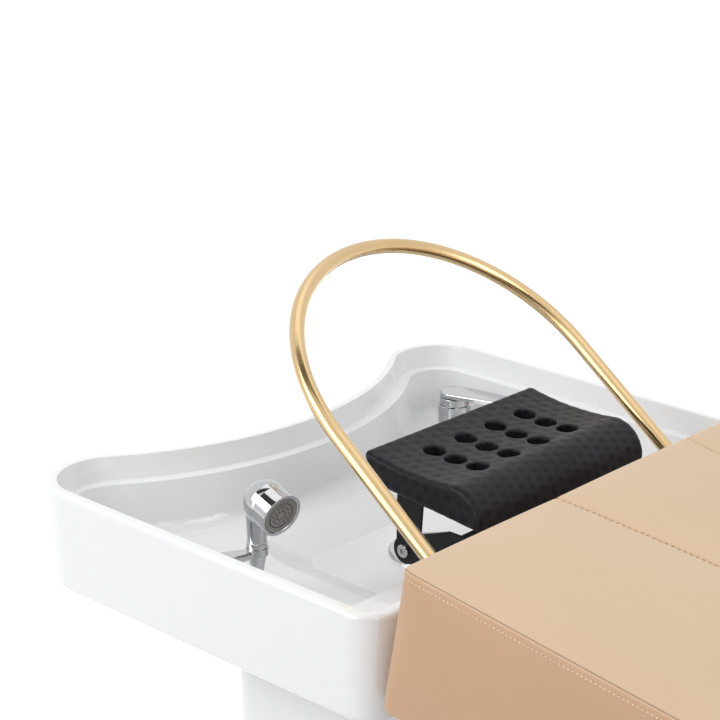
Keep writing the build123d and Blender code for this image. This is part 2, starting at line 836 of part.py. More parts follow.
# Mattress: sloping head end, flat seat, three crowned panels with seams between, puffed sides
def mattress_section(at_x, lean, rise, inset):
    """Closed cross-section of the pad, drawn in by inset, leaning towards the foot by lean degrees."""
    half = mattress_half_width - inset
    low = inset * end_bottom_share
    high = rise / cos(radians(lean)) - inset
    bottom_round = mattress_bottom_radius
    top_round = mattress_edge_radius
    bottom_cut = bottom_round * (1 - cos(pi / 4))
    top_cut = top_round * (1 - cos(pi / 4))
    plane = Plane(
        origin=(at_x, 0, mattress_bottom),
        x_dir=(0, 1, 0),
        z_dir=(cos(radians(lean)), 0, -sin(radians(lean))),
    )
    with BuildSketch(plane) as section:
        with BuildLine():
            Line((bottom_round - half, low), (half - bottom_round, low))
            for side in (1, -1):
                ThreePointArc(
                    (side * (half - bottom_round), low),
                    (side * (half - bottom_cut), low + bottom_cut),
                    (side * half, low + bottom_round),
                )
                ThreePointArc(
                    (side * half, low + bottom_round),
                    (side * (half + mattress_bulge), (low + high) / 2),
                    (side * half, high - top_round),
                )
                ThreePointArc(
                    (side * half, high - top_round),
                    (side * (half - top_cut), high - top_cut),
                    (side * (half - top_round), high),
                )
                ThreePointArc(
                    (side * (half - top_round), high),
                    (side * (half - top_round + seam_y) / 2, high + mattress_crown / 2),
                    (side * seam_y, high - seam_depth),
                )
            ThreePointArc(
                (seam_y, high - seam_depth),
                (0, high + mattress_crown / 2),
                (-seam_y, high - seam_depth),
            )
        make_face()
    return section.sketch


slope_fall = (mattress_head_rise - mattress_flat_rise) / mattress_slope_length
with BuildPart() as mattress:
    sections = []
    for step, inset in zip(end_round_steps, end_round_insets):
        rise = mattress_head_rise - slope_fall * step
        sections.append(mattress_section(mattress_head_x + step, head_lean, rise, inset))
    sections.append(
        mattress_section(
            mattress_head_x + mattress_edge_radius * 2,
            head_lean / 2,
            mattress_head_rise - slope_fall * mattress_edge_radius * 2,
            0,
        )
    )
    sections.append(mattress_section(mattress_head_x + mattress_slope_length, 0, mattress_flat_rise, 0))
    sections.append(mattress_section(foot_x - mattress_edge_radius * 2, 0, mattress_flat_rise, 0))
    for step, inset in reversed(list(zip(end_round_steps, end_round_insets))):
        sections.append(mattress_section(foot_x - step, 0, mattress_flat_rise, inset))
    loft(sections, ruled=True)

# Water arch: gold tube on two hubs, leaning over the basin, spray holes inside the bow
lean_up = Vector(-sin(radians(arch_lean)), 0, cos(radians(arch_lean)))
lean_normal = Vector(cos(radians(arch_lean)), 0, sin(radians(arch_lean)))
arch_plane = Plane(origin=(arch_x, 0, arch_z), x_dir=(0, 1, 0), z_dir=lean_normal)
tube_start = hub_shoulder_height + soft_gap

with BuildLine(arch_plane) as arch_route:
    Line((-arch_radius, tube_start), (-arch_radius, arch_leg))
    ThreePointArc((-arch_radius, arch_leg), (0, arch_leg + arch_radius), (arch_radius, arch_leg))
    Line((arch_radius, arch_leg), (arch_radius, tube_start))

spray_places = []
for index in range(spray_hole_count):
    bearing = radians(90 + spray_hole_spread * (index / (spray_hole_count - 1) - 1 / 2))
    outward = Vector(0, cos(bearing), 0) + lean_up * sin(bearing)
    middle = Vector(arch_x, 0, arch_z) + lean_up * arch_leg + outward * arch_radius
    aim = lean_normal * sin(radians(spray_turn)) - outward * cos(radians(spray_turn))
    spray_places.append(Plane(origin=middle, z_dir=aim))

with BuildPart() as arch_tube:
    with BuildSketch(Plane(origin=arch_route.line @ 0, x_dir=(0, -1, 0), z_dir=lean_up)):
        Circle(arch_tube_radius)
        Circle(arch_tube_radius - arch_tube_wall, mode=Mode.SUBTRACT)
    sweep(path=arch_route.wires()[0])
    with Locations(*spray_places):
        Cylinder(
            spray_hole_radius,
            arch_tube_radius + arch_tube_wall,
            align=(Align.CENTER, Align.CENTER, Align.MIN),
            mode=Mode.SUBTRACT,
        )

# Arch hubs, pins and bearing blocks on the tap deck
bearing_base_width = 2 * (hub_width / 2 + cheek_gap + cheek_thickness + bearing_foot)
arch_pieces = {}
for label, side in sides:
    leg_middle = side * arch_radius
    across = Plane(origin=(arch_x, leg_middle, arch_z), x_dir=(1, 0, 0), z_dir=(0, 1, 0))
    along = Plane(origin=(arch_x, leg_middle, arch_z), z_dir=lean_up)
    with BuildPart() as hub:
        with BuildSketch(across):
            Circle(hub_radius)
        extrude(amount=hub_width / 2, both=True)
        with BuildSketch(along):
            Circle(arch_tube_radius)
        extrude(amount=hub_shoulder_height)
        with BuildSketch(along.offset(hub_shoulder_height)):
            Circle(arch_tube_radius - arch_tube_wall - running_gap)
        extrude(amount=hub_spigot_length)
        with BuildSketch(along):
            Circle(hub_bore_radius)
        extrude(amount=hub_shoulder_height + hub_spigot_length, mode=Mode.SUBTRACT)
        with BuildSketch(across):
            Circle(arch_pin_radius + running_gap)
        extrude(amount=hub_width, both=True, mode=Mode.SUBTRACT)
    arch_pieces[f"arch_hub_{label}"] = hub
    with BuildPart() as bearing:
        with BuildSketch(Plane(origin=(bearing_base_x, leg_middle, ledge_z))):
            RectangleRounded(bearing_base_length, bearing_base_width, bearing_foot / 2)
        extrude(amount=bearing_base_thickness)
        for step in (-1, 1):
            with BuildSketch(across.offset(step * (hub_width / 2 + cheek_gap))):
                Circle(cheek_radius)
                with Locations((0, (arch_z - ledge_z) / 2)):
                    Rectangle(2 * cheek_radius, arch_z - ledge_z)
            extrude(amount=step * cheek_thickness)
        with BuildSketch(across):
            Circle(arch_pin_radius + running_gap)
        extrude(amount=bearing_base_width, both=True, mode=Mode.SUBTRACT)
        with BuildSketch(Plane(origin=(bearing_base_x, leg_middle, ledge_z))):
            with Locations((0, -bolt_reach), (0, bolt_reach)):
                Circle(deck_bolt_radius + hole_gap)
        extrude(amount=bearing_base_thickness, mode=Mode.SUBTRACT)
    arch_pieces[f"arch_bearing_{label}"] = bearing

pin_half = hub_width / 2 + cheek_gap + cheek_thickness
with BuildPart() as arch_pins:
    for label, side in sides:
        across = Plane(origin=(arch_x, side * arch_radius, arch_z), x_dir=(1, 0, 0), z_dir=(0, 1, 0))
        with BuildSketch(across.offset(-pin_half)):
            Circle(arch_pin_radius)
        extrude(amount=2 * pin_half)
        for step in (-1, 1):
            with BuildSketch(across.offset(step * pin_half)):
                Circle(arch_pin_head_radius)
            extrude(amount=step * arch_pin_head_length)

# Neck rest arms and cross tray, black folded steel on the tap deck
with BuildPart() as cross_tray:
    with BuildSketch(Plane(origin=(tray_x, 0, ledge_z), x_dir=(1, 0, 0), z_dir=(0, -1, 0))):
        with Locations((tray_depth / 2, tray_thickness / 2)):
            Rectangle(tray_depth, tray_thickness)
        with Locations((tray_thickness / 2, arm_top / 2)):
            Rectangle(tray_thickness, arm_top)
        with Locations((tray_lip / 2, arm_top - tray_thickness / 2)):
            Rectangle(tray_lip, tray_thickness)
    extrude(amount=arm_y - arm_thickness, both=True)
    with BuildSketch(Plane(origin=(tray_x + tray_bolt_x, 0, ledge_z))):
        with Locations(*[(0, share * arm_y) for share in tray_bolt_shares]):
            Circle(deck_bolt_radius + hole_gap)
    extrude(amount=tray_thickness, mode=Mode.SUBTRACT)

arm_pieces = {}
for label, side in sides:
    with BuildPart() as arm:
        bolt_origin = (headrest_x, side * arm_y, headrest_z)
        with BuildSketch(Plane(origin=bolt_origin, x_dir=(1, 0, 0), z_dir=(0, -1, 0))):
            Circle(lug_half_width)
            with Locations((deck_x - headrest_x - arm_nose_gap, ledge_z + arm_top / 2 - headrest_z)):
                Rectangle(arm_nose_gap, arm_top)
            make_hull()
            with Locations((tray_x + tray_depth - headrest_x, ledge_z - headrest_z)):
                Rectangle(
                    tray_x + tray_depth - deck_x + arm_nose_gap,
                    arm_top,
                    align=(Align.MAX, Align.MIN),
                )
            Circle(headrest_bolt_radius + hole_gap, mode=Mode.SUBTRACT)
        extrude(amount=side * arm_thickness)
    arm_pieces[f"headrest_arm_{label}"] = arm

# Neck rest: lugs, plate and moulded pad on the pivot bolts, all in the pad's own tilted plane
tilt = radians(pillow_tilt)
pillow_x = basin_foot_x - pillow_setback
pillow_z = rim_height + pillow_rise
pillow_side = Plane(origin=(pillow_x, 0, pillow_z), x_dir=(cos(tilt), 0, -sin(tilt)), z_dir=(0, -1, 0))
pillow_base = Plane(
    origin=(pillow_x, 0, pillow_z),
    x_dir=(cos(tilt), 0, -sin(tilt)),
    z_dir=(sin(tilt), 0, cos(tilt)),
)
pivot_local = pillow_side.to_local_coords(Vector(headrest_x, 0, headrest_z))
lug_y = arm_y - arm_thickness - lug_gap


def pillow_point(depth_share, height_share):
    """Point on the pad's side profile, as shares of its depth and height."""
    return ((depth_share - pillow_origin_share) * pillow_depth, height_share * pillow_height)


with BuildPart() as neck_rest_pad:
    with BuildSketch(pillow_side):
        with BuildLine():
            ThreePointArc(*[pillow_point(*shares) for shares in pillow_dip_shares])
            ThreePointArc(*[pillow_point(*shares) for shares in pillow_crown_shares])
            ThreePointArc(*[pillow_point(*shares) for shares in pillow_front_shares])
            Polyline(*[pillow_point(*shares) for shares in pillow_under_shares])
        make_face()
    extrude(amount=pillow_half_width, both=True)
    fillet(neck_rest_pad.edges().filter_by(Axis.Y), pillow_long_radius)
    fillet(neck_rest_pad.faces().sort_by(Axis.Y)[0].edges(), pillow_edge_radius)
    fillet(neck_rest_pad.faces().sort_by(Axis.Y)[-1].edges(), pillow_edge_radius)
    with BuildSketch(pillow_base):
        with Locations((pillow_hole_shift, 0)):
            with GridLocations(pillow_hole_pitch_x, pillow_hole_pitch_y, 3, 4):
                Circle(pillow_hole_radius)
    extrude(amount=pillow_height * 2, mode=Mode.SUBTRACT)
    with BuildSketch(pillow_base):
        with GridLocations(pillow_screw_pitch_x, pillow_screw_pitch_y, 2, 2):
            Circle(screw_radius)
    extrude(amount=screw_length, mode=Mode.SUBTRACT)

with BuildPart() as neck_rest_plate:
    with BuildSketch(pillow_base):
        RectangleRounded(2 * plate_half_length, 2 * plate_half_width, plate_corner)
        with Locations((pillow_hole_shift + plate_window_shift, 0)):
            RectangleRounded(2 * plate_window_half_length, 2 * plate_window_half_width, plate_corner,
                             mode=Mode.SUBTRACT)
        with GridLocations(pillow_screw_pitch_x, pillow_screw_pitch_y, 2, 2):
            Circle(screw_radius + hole_gap, mode=Mode.SUBTRACT)
    extrude(amount=-plate_thickness)
    for label, side in sides:
        with BuildSketch(pillow_side.offset(-side * lug_y)):
            with Locations((pivot_local.X, pivot_local.Y)):
                Circle(lug_half_width)
            with Locations((lug_top_shift, 0)):
                Rectangle(lug_top_width, plate_thickness + lug_top_drop, align=(Align.CENTER, Align.MAX))
            make_hull()
            with Locations((pivot_local.X, pivot_local.Y)):
                Circle(headrest_bolt_radius + running_gap, mode=Mode.SUBTRACT)
        extrude(amount=side * arm_thickness)

with BuildPart() as pad_screws:
    with BuildSketch(pillow_base.offset(-plate_thickness)):
        with GridLocations(pillow_screw_pitch_x, pillow_screw_pitch_y, 2, 2):
            Circle(screw_head_radius)
    extrude(amount=-screw_head_length)
    with BuildSketch(pillow_base.offset(-plate_thickness)):
        with GridLocations(pillow_screw_pitch_x, pillow_screw_pitch_y, 2, 2):
            Circle(screw_radius)
    extrude(amount=plate_thickness + screw_length)

with BuildPart() as neck_rest_bolts:
    for label, side in sides:
        bolt_face = Plane(origin=(headrest_x, side * arm_y, headrest_z), x_dir=(1, 0, 0), z_dir=(0, side, 0))
        with BuildSketch(bolt_face):
            Circle(headrest_head_radius)
        extrude(amount=headrest_head_length)
        with BuildSketch(bolt_face):
            Circle(headrest_bolt_radius)
        extrude(amount=-2 * arm_thickness - 2 * lug_gap - headrest_nut_length)
        with BuildSketch(bolt_face.offset(-2 * arm_thickness - 2 * lug_gap)):
            RegularPolygon(headrest_nut_radius, 6)
        extrude(amount=-headrest_nut_length)
        with BuildSketch(bolt_face.offset(headrest_head_length)):
            RegularPolygon(hex_socket_radius, 6)
        extrude(amount=-hex_socket_depth, mode=Mode.SUBTRACT)
    heads = neck_rest_bolts.edges().filter_by(GeomType.CIRCLE).group_by(SortBy.LENGTH)[-1]
    chamfer(heads.sort_by(Axis.Y)[0], head_chamfer)
    chamfer(heads.sort_by(Axis.Y)[-1], head_chamfer)

# Bolts and nuts through the tap deck, for the tray and the arch bearings
with BuildPart() as deck_bolts:
    for bolt_x, bolt_y, seat in deck_bolt_points:
        with BuildSketch(Plane(origin=(bolt_x, bolt_y, ledge_z + seat))):
            Circle(deck_bolt_head_radius)
        extrude(amount=deck_bolt_head_length)
        with BuildSketch(Plane(origin=(bolt_x, bolt_y, ledge_z + seat))):
            Circle(deck_bolt_radius)
        extrude(amount=-seat - wall - deck_bolt_nut_length)
        with BuildSketch(Plane(origin=(bolt_x, bolt_y, ledge_z - wall))):
            RegularPolygon(deck_bolt_head_radius, 6)
        extrude(amount=-deck_bolt_nut_length)

# Hand shower: hollow domed head on a neck, bezel, spray face, collar, cone nut
face_centre = Vector(handset_x + face_reach, handset_y, handset_z + face_rise)
yaw = radians(face_yaw)
pitch = radians(face_pitch)
face_normal = Vector(cos(yaw) * cos(pitch), sin(yaw) * cos(pitch), -sin(pitch))
face_plane = Plane(origin=face_centre, z_dir=face_normal)
head_profile = Plane(origin=face_centre, x_dir=face_plane.x_dir, z_dir=face_plane.x_dir.cross(face_normal))
head_axis = Axis(face_centre, face_normal)
collar_z = handset_z + ring_height / 2 + soft_gap
neck_top = face_centre.Z + neck_overlap


def head_half(radius, front, dome):
    """Half section of the domed head about its axis."""
    with BuildSketch(head_profile) as half:
        with BuildLine():
            Line((0, -front), (radius, -front))
            Line((radius, -front), (radius, -head_barrel))
            ThreePointArc(
                (radius, -head_barrel),
                (radius * dome_share, -head_barrel - dome * dome_share),
                (0, -head_barrel - dome),
            )
            Line((0, -head_barrel - dome), (0, -front))
        make_face()
    return half.sketch


with BuildPart() as handset_body:
    add(head_half(head_radius, bezel_thickness, head_dome))
    revolve(axis=head_axis)
    with BuildSketch(Plane(origin=(handset_x, handset_y, collar_z + collar_height))):
        Circle(neck_radius)
    extrude(amount=neck_top - collar_z - collar_height, taper=-neck_taper)
    revolve(head_half(head_radius - head_wall, 0, head_dome - head_wall), axis=head_axis, mode=Mode.SUBTRACT)
    with BuildSketch(Plane(origin=(handset_x, handset_y, collar_z + collar_height))):
        Circle(neck_bore_radius)
    extrude(amount=neck_top - collar_z - collar_height, mode=Mode.SUBTRACT)

with BuildPart() as handset_bezel:
    with BuildSketch(face_plane):
        Circle(bezel_radius)
        Circle(bezel_bore_radius, mode=Mode.SUBTRACT)
    extrude(amount=-bezel_thickness)
    fillet(handset_bezel.edges().filter_by(GeomType.CIRCLE).sort_by(head_axis)[-1], bezel_round)

with BuildPart() as spray_face:
    with BuildSketch(face_plane.offset(-spray_face_depth)):
        Circle(spray_face_radius)
        for nozzle_ring, count in zip(nozzle_ring_radii, nozzle_ring_counts):
            with PolarLocations(nozzle_ring, count):
                Circle(nozzle_radius, mode=Mode.SUBTRACT)
    extrude(amount=-spray_face_thickness)

with BuildPart() as handset_collar:
    with BuildSketch(Plane(origin=(handset_x, handset_y, collar_z))):
        Circle(collar_radius)
        Circle(neck_bore_radius, mode=Mode.SUBTRACT)
    extrude(amount=collar_height)
    chamfer(handset_collar.edges().group_by(Axis.Z)[-1].sort_by(SortBy.LENGTH)[-1], head_chamfer)

nut_straight = ring_height + soft_gap
with BuildPart() as hose_nut:
    with BuildSketch(Plane(origin=(handset_x, handset_y, collar_z))):
        Circle(nut_top_radius)
    extrude(amount=-nut_straight)
    with BuildSketch(Plane(origin=(handset_x, handset_y, collar_z - nut_straight))):
        Circle(nut_top_radius)
    with BuildSketch(Plane(origin=(handset_x, handset_y, collar_z - nut_length))):
        Circle(nut_foot_radius)
    loft()
    with BuildSketch(Plane(origin=(handset_x, handset_y, collar_z))):
        Circle(hose_bore_radius)
    extrude(amount=-nut_length, mode=Mode.SUBTRACT)

# Holder of the hand shower: base on the near wall, tapering arm with a knee, ring
holder_plane = Plane(
    origin=(handset_x, handset_y, handset_z), x_dir=(side_normal.Y, side_normal.X, 0), z_dir=(0, 0, 1)
)
holder_base_place = holder_plane.from_local_coords((-holder_base_shift, -holder_reach, -holder_base_drop))
with BuildPart() as handset_holder:
    with BuildSketch(holder_plane):
        with BuildLine():
            Polyline(
                (holder_arm_width / 2, 0),
                (holder_arm_width / 2, -holder_knee),
                (holder_arm_width / 2 - holder_base_shift / 2, -holder_reach),
                (-holder_arm_width - holder_base_shift, -holder_reach),
                (-holder_arm_width / 2, -holder_knee / 2),
                (-holder_arm_width / 2, 0),
                close=True,
            )
        make_face()
    extrude(amount=holder_arm_height / 2, both=True)
    chamfer(handset_holder.edges().group_by(Axis.Z)[-1], holder_chamfer)
    with BuildSketch(
        Plane(origin=holder_base_place, x_dir=holder_plane.x_dir, z_dir=-holder_plane.y_dir)
    ):
        RectangleRounded(holder_base_width, holder_base_height, holder_base_round)
    extrude(amount=holder_base_thickness)
    with BuildSketch(Plane(origin=(handset_x, handset_y, handset_z - ring_height / 2))):
        Circle(ring_radius)
    extrude(amount=ring_height)
    with BuildSketch(Plane(origin=(handset_x, handset_y, handset_z))):
        Circle(ring_bore_radius)
    extrude(amount=ring_height, both=True, mode=Mode.SUBTRACT)
    add(basin_shell.part, mode=Mode.SUBTRACT)

# Gland that the hose passes through in the basin floor
with BuildPart() as hose_gland:
    with BuildSketch(Plane(origin=(handset_x, handset_y, floor_z))):
        Circle(gland_radius)
    extrude(amount=gland_thickness)
    chamfer(hose_gland.edges().group_by(Axis.Z)[-1], head_chamfer)
    with BuildSketch(Plane(origin=(handset_x, handset_y, floor_z))):
        Circle(gland_neck_radius)
    extrude(amount=-gland_length)
    with BuildSketch(Plane(origin=(handset_x, handset_y, floor_z + gland_thickness))):
        Circle(gland_bore_radius)
    extrude(amount=-gland_length - gland_thickness, mode=Mode.SUBTRACT)

with BuildPart() as gland_nut:
    with BuildSketch(Plane(origin=(handset_x, handset_y, floor_z - wall))):
        RegularPolygon(gland_nut_radius, 6)
        Circle(gland_neck_radius + running_gap, mode=Mode.SUBTRACT)
    extrude(amount=-gland_nut_thickness)

# Mixer: body on the basin floor, swivelling cap, lever on a cross pin, red dot, nut and manifold below
lever_heading = radians(lever_turn)
lever_along = Vector(cos(lever_heading), sin(lever_heading), 0)
lever_across = Vector(-sin(lever_heading), cos(lever_heading), 0)
cap_z = mixer_top + cap_seat_gap
lever_z = cap_z + cap_height + lever_gap
lever_plane = Plane(origin=(mixer_x, mixer_y, lever_z), x_dir=lever_along, z_dir=(0, 0, 1))
cap_plane = Plane(origin=(mixer_x, mixer_y, cap_z), x_dir=lever_along, z_dir=(0, 0, 1))
lever_pin_z = cap_z + cap_height - lever_pin_drop
pin_place = Vector(mixer_x, mixer_y, lever_pin_z) - lever_along * lever_pin_back
pin_plane = Plane(origin=pin_place, x_dir=lever_along, z_dir=lever_across)
manifold_top = floor_z - mixer_shank_length

with BuildPart() as mixer_body:
    with BuildSketch(Plane(origin=(mixer_x, mixer_y, floor_z))):
        Circle(mixer_flange_radius)
    extrude(amount=mixer_flange_thickness)
    with BuildSketch(Plane(origin=(mixer_x, mixer_y, floor_z))):
        Circle(mixer_radius)
    extrude(amount=mixer_height)
    chamfer(mixer_body.edges().group_by(Axis.Z)[-1], head_chamfer)
    with BuildSketch(Plane(origin=(mixer_x, mixer_y, floor_z))):
        Circle(mixer_shank_radius)
    extrude(amount=-mixer_shank_length)
    with BuildSketch(Plane(origin=(mixer_x, mixer_y, manifold_top))):
        RectangleRounded(2 * manifold_half_length, 2 * manifold_half_width, manifold_round)
    extrude(amount=-manifold_height)
    with BuildSketch(Plane(origin=(mixer_x, mixer_y, mixer_top))):
        Circle(cap_spigot_radius + running_gap)
    extrude(amount=-cap_spigot_length - sheet_gap, mode=Mode.SUBTRACT)

with BuildPart() as mixer_nut:
    with BuildSketch(Plane(origin=(mixer_x, mixer_y, floor_z - wall))):
        RegularPolygon(mixer_nut_radius, 6)
        Circle(mixer_shank_radius + running_gap, mode=Mode.SUBTRACT)
    extrude(amount=-mixer_nut_thickness)

with BuildPart() as mixer_cap:
    with BuildSketch(cap_plane):
        Circle(cap_radius)
    extrude(amount=cap_height)
    fillet(mixer_cap.edges().group_by(Axis.Z)[-1], cap_round)
    with BuildSketch(cap_plane):
        Circle(cap_spigot_radius)
    extrude(amount=-cap_spigot_length)
    with BuildSketch(cap_plane.offset(cap_height)):
        with Locations((-lever_pin_back, 0)):
            Rectangle(lever_ear_length + 2 * lever_slot_side, lever_ear_width + 2 * lever_slot_gap)
    extrude(amount=-cap_height + lever_slot_gap, mode=Mode.SUBTRACT)
    with BuildSketch(pin_plane):
        Circle(lever_pin_radius + running_gap)
    extrude(amount=cap_radius, both=True, mode=Mode.SUBTRACT)
    with BuildSketch(Plane(origin=Vector(mixer_x, mixer_y, cap_z + cap_height / 2) + lever_along * cap_radius,
                           z_dir=lever_along)):
        Circle(dot_radius)
    extrude(amount=-dot_length, mode=Mode.SUBTRACT)

with BuildPart() as mixer_lever:
    with BuildSketch(lever_plane):
        Circle(lever_radius)
        with Locations((lever_reach, 0)):
            Circle(lever_tip_radius)
        make_hull()
    extrude(amount=lever_thickness)
    fillet(mixer_lever.edges().group_by(Axis.Z)[-1], lever_round)
    with BuildSketch(lever_plane):
        with Locations((-lever_pin_back, 0)):
            Rectangle(lever_ear_length, lever_ear_width)
    extrude(amount=lever_pin_z - lever_z - lever_ear_drop)
    with BuildSketch(pin_plane):
        Circle(lever_pin_radius)
    extrude(amount=lever_pin_half, both=True)

with BuildPart() as mixer_dot:
    with BuildSketch(Plane(origin=Vector(mixer_x, mixer_y, cap_z + cap_height / 2) + lever_along * cap_radius,
                           z_dir=lever_along)):
        Circle(dot_radius)
    extrude(amount=-dot_length)

# Water pipes from the manifold to the inlets and to the diverter, and the arch feed
pipe_z = manifold_top - manifold_height / 2
pipe_start_x = mixer_x + manifold_half_length
pipe_down_x = pedestal_head_x + pipe_down_inset
diverter_middle = diverter_top - diverter_height / 2
inlet_end_x = pedestal_foot_x - pedestal_wall - inlet_nut_thickness


def pipe_top(row):
    """First stretch of a pipe: out of the manifold, aside under the basin, over the pedestal."""
    start_y = mixer_y + row * pipe_spacing
    return [
        (pipe_start_x, start_y, pipe_z),
        (pipe_start_x + pipe_first_run, start_y, pipe_z),
        (pipe_start_x + pipe_first_run + pipe_shift, start_y - pipe_shift, pipe_z),
        (pipe_down_x, start_y - pipe_shift, pipe_z),
    ]


cold_y = mixer_y - pipe_shift
hot_y = cold_y + pipe_spacing
mixed_y = cold_y - pipe_spacing
pipe_routes = {
    "hot_pipe": pipe_top(1) + [
        (pipe_down_x, hot_y, inlet_height),
        (pedestal_x, hot_y, inlet_height),
        (pedestal_x, inlet_spacing, inlet_height),
        (inlet_end_x, inlet_spacing, inlet_height),
    ],
    "cold_pipe": pipe_top(0) + [
        (pipe_down_x, cold_y, inlet_height),
        (pipe_down_x, -inlet_spacing, inlet_height),
        (inlet_end_x, -inlet_spacing, inlet_height),
    ],
    "mixed_pipe": pipe_top(-1) + [
        (pipe_down_x, mixed_y, diverter_middle),
        (pipe_down_x, diverter_y, diverter_middle),
        (port_x - diverter_half_length, diverter_y, diverter_middle),
    ],
    "arch_feed_pipe": [
        (port_x, diverter_y, diverter_top + diverter_port_length),
        (port_x, diverter_y, feed_turn_z),
        (port_x, -arch_radius, feed_turn_z),
        (port_x, -arch_radius, ledge_z),
    ],
}
pipes = {}
for label, points in pipe_routes.items():
    with BuildLine() as route:
        FilletPolyline(*points, radius=pipe_bend)
    with BuildPart() as pipe:
        with BuildSketch(Plane(origin=route.line @ 0, z_dir=route.line % 0)):
            Circle(pipe_radius)
            Circle(pipe_radius - pipe_wall, mode=Mode.SUBTRACT)
        sweep(path=route.line)
    pipes[label] = pipe

with BuildPart() as inlet_nipples:
    with BuildSketch(rear_plane.offset(-pedestal_wall)):
        with Locations(*inlet_points):
            Circle(inlet_nut_radius)
    extrude(amount=-inlet_nut_thickness)
    with BuildSketch(rear_plane.offset(-pedestal_wall)):
        with Locations(*inlet_points):
            Circle(inlet_shank_radius)
    extrude(amount=pedestal_wall + inlet_nut_thickness)
    with BuildSketch(rear_plane):
        with Locations(*inlet_points):
            Circle(inlet_radius)
    extrude(amount=inlet_length)
    with BuildSketch(rear_plane.offset(inlet_length)):
        with Locations(*inlet_points):
            Circle(inlet_bore_radius)
    extrude(amount=-inlet_length - pedestal_wall - inlet_nut_thickness, mode=Mode.SUBTRACT)

with BuildPart() as inlet_nuts:
    with BuildSketch(rear_plane):
        with Locations(*inlet_points):
            RegularPolygon(inlet_nut_radius, 6)
            Circle(inlet_shank_radius + running_gap, mode=Mode.SUBTRACT)
    extrude(amount=inlet_nut_thickness)

with BuildPart() as diverter_valve:
    with BuildSketch(Plane(origin=(port_x, diverter_y, diverter_top))):
        Rectangle(2 * diverter_half_length, diverter_width)
    extrude(amount=-diverter_height)
    with BuildSketch(Plane(origin=(port_x, diverter_y, diverter_middle))):
        Rectangle(diverter_depth, diverter_foot, align=(Align.MIN, Align.CENTER))
    extrude(amount=diverter_foot / 2, both=True)
    with BuildSketch(Plane(origin=(port_x, diverter_y, diverter_top))):
        Circle(diverter_port_radius)
    extrude(amount=diverter_port_length)
    with BuildSketch(Plane(origin=(port_x, diverter_y, diverter_top - diverter_height))):
        Circle(diverter_port_radius)
    extrude(amount=-diverter_port_length)

# Hose of the hand shower: down through the gland, a free loop in the pedestal, up to the diverter
hose_route_points = [(handset_x, handset_y, collar_z - nut_length)]
hose_route_points += [tuple(point) for point in hose_points]
hose_route_points += [(port_x, diverter_y, diverter_top - diverter_height - diverter_port_length)]


def tangent_radii(points):
    """Largest arcs that the runs allow: 0.45 of the shorter run over the tangent of half the turn."""
    runs = [Vector(*b) - Vector(*a) for a, b in zip(points, points[1:])]
    return [
        run_share * min(before.length, after.length) / tan(radians(before.get_angle(after)) / 2)
        for before, after in zip(runs, runs[1:])
    ]


hose_radii = tangent_radii(hose_route_points)
with BuildLine() as hose_route:
    FilletPolyline(*hose_route_points, radius=hose_radii)

with BuildPart() as shower_hose:
    with BuildSketch(Plane(origin=hose_route.line @ 0, z_dir=hose_route.line % 0)):
        Circle(hose_radius)
    sweep(path=hose_route.line)

hose_length = sum(edge.length for edge in hose_route.edges())
print("hose length", hose_length, "radii", [round(radius) for radius in hose_radii])
print("hose volume over section times length", shower_hose.part.volume / (pi * hose_radius**2 * hose_length))

parts = {
    "basin_shell": basin_shell,
    "drain_flange": drain_flange,
    "drain_strainer": drain_strainer,
    "drain_nut": drain_nut,
    "trap_cup": trap_cup,
    "drain_trap": drain_trap,
    "pedestal_shell": pedestal_shell,
    "basin_seal": basin_seal,
    "base_plate": base_plate,
    "pedestal_door": pedestal_door,
    "door_hinges": door_hinges,
    "door_knob": door_knob,
    **side_rails,
    **cross_rails,
    **legs,
    "leg_brace": leg_brace,
    "levelling_feet": levelling_feet,
    "frame_bolts": frame_bolts,
    "deck_board": deck_board,
    "deck_screws": deck_screws,
    "mattress": mattress,
    "arch_tube": arch_tube,
    **arch_pieces,
    "arch_pins": arch_pins,
    "cross_tray": cross_tray,
    **arm_pieces,
    "neck_rest_pad": neck_rest_pad,
    "neck_rest_plate": neck_rest_plate,
    "neck_rest_bolts": neck_rest_bolts,
    "pad_screws": pad_screws,
    "deck_bolts": deck_bolts,
    "handset_body": handset_body,
    "handset_bezel": handset_bezel,
    "spray_face": spray_face,
    "handset_collar": handset_collar,
    "hose_nut": hose_nut,
    "handset_holder": handset_holder,
    "hose_gland": hose_gland,
    "gland_nut": gland_nut,
    "mixer_body": mixer_body,
    "mixer_nut": mixer_nut,
    "mixer_cap": mixer_cap,
    "mixer_lever": mixer_lever,
    "mixer_dot": mixer_dot,
    **pipes,
    "inlet_nipples": inlet_nipples,
    "inlet_nuts": inlet_nuts,
    "diverter_valve": diverter_valve,
    "shower_hose": shower_hose,
}

os.makedirs("parts", exist_ok=True)
for label, piece in parts.items():
    piece.part.label = label
    export_step(piece.part, f"parts/{label}.step")
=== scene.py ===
import math

import bmesh
import bpy
import numpy as np
from mathutils import Matrix, Vector
from mathutils.bvhtree import BVHTree


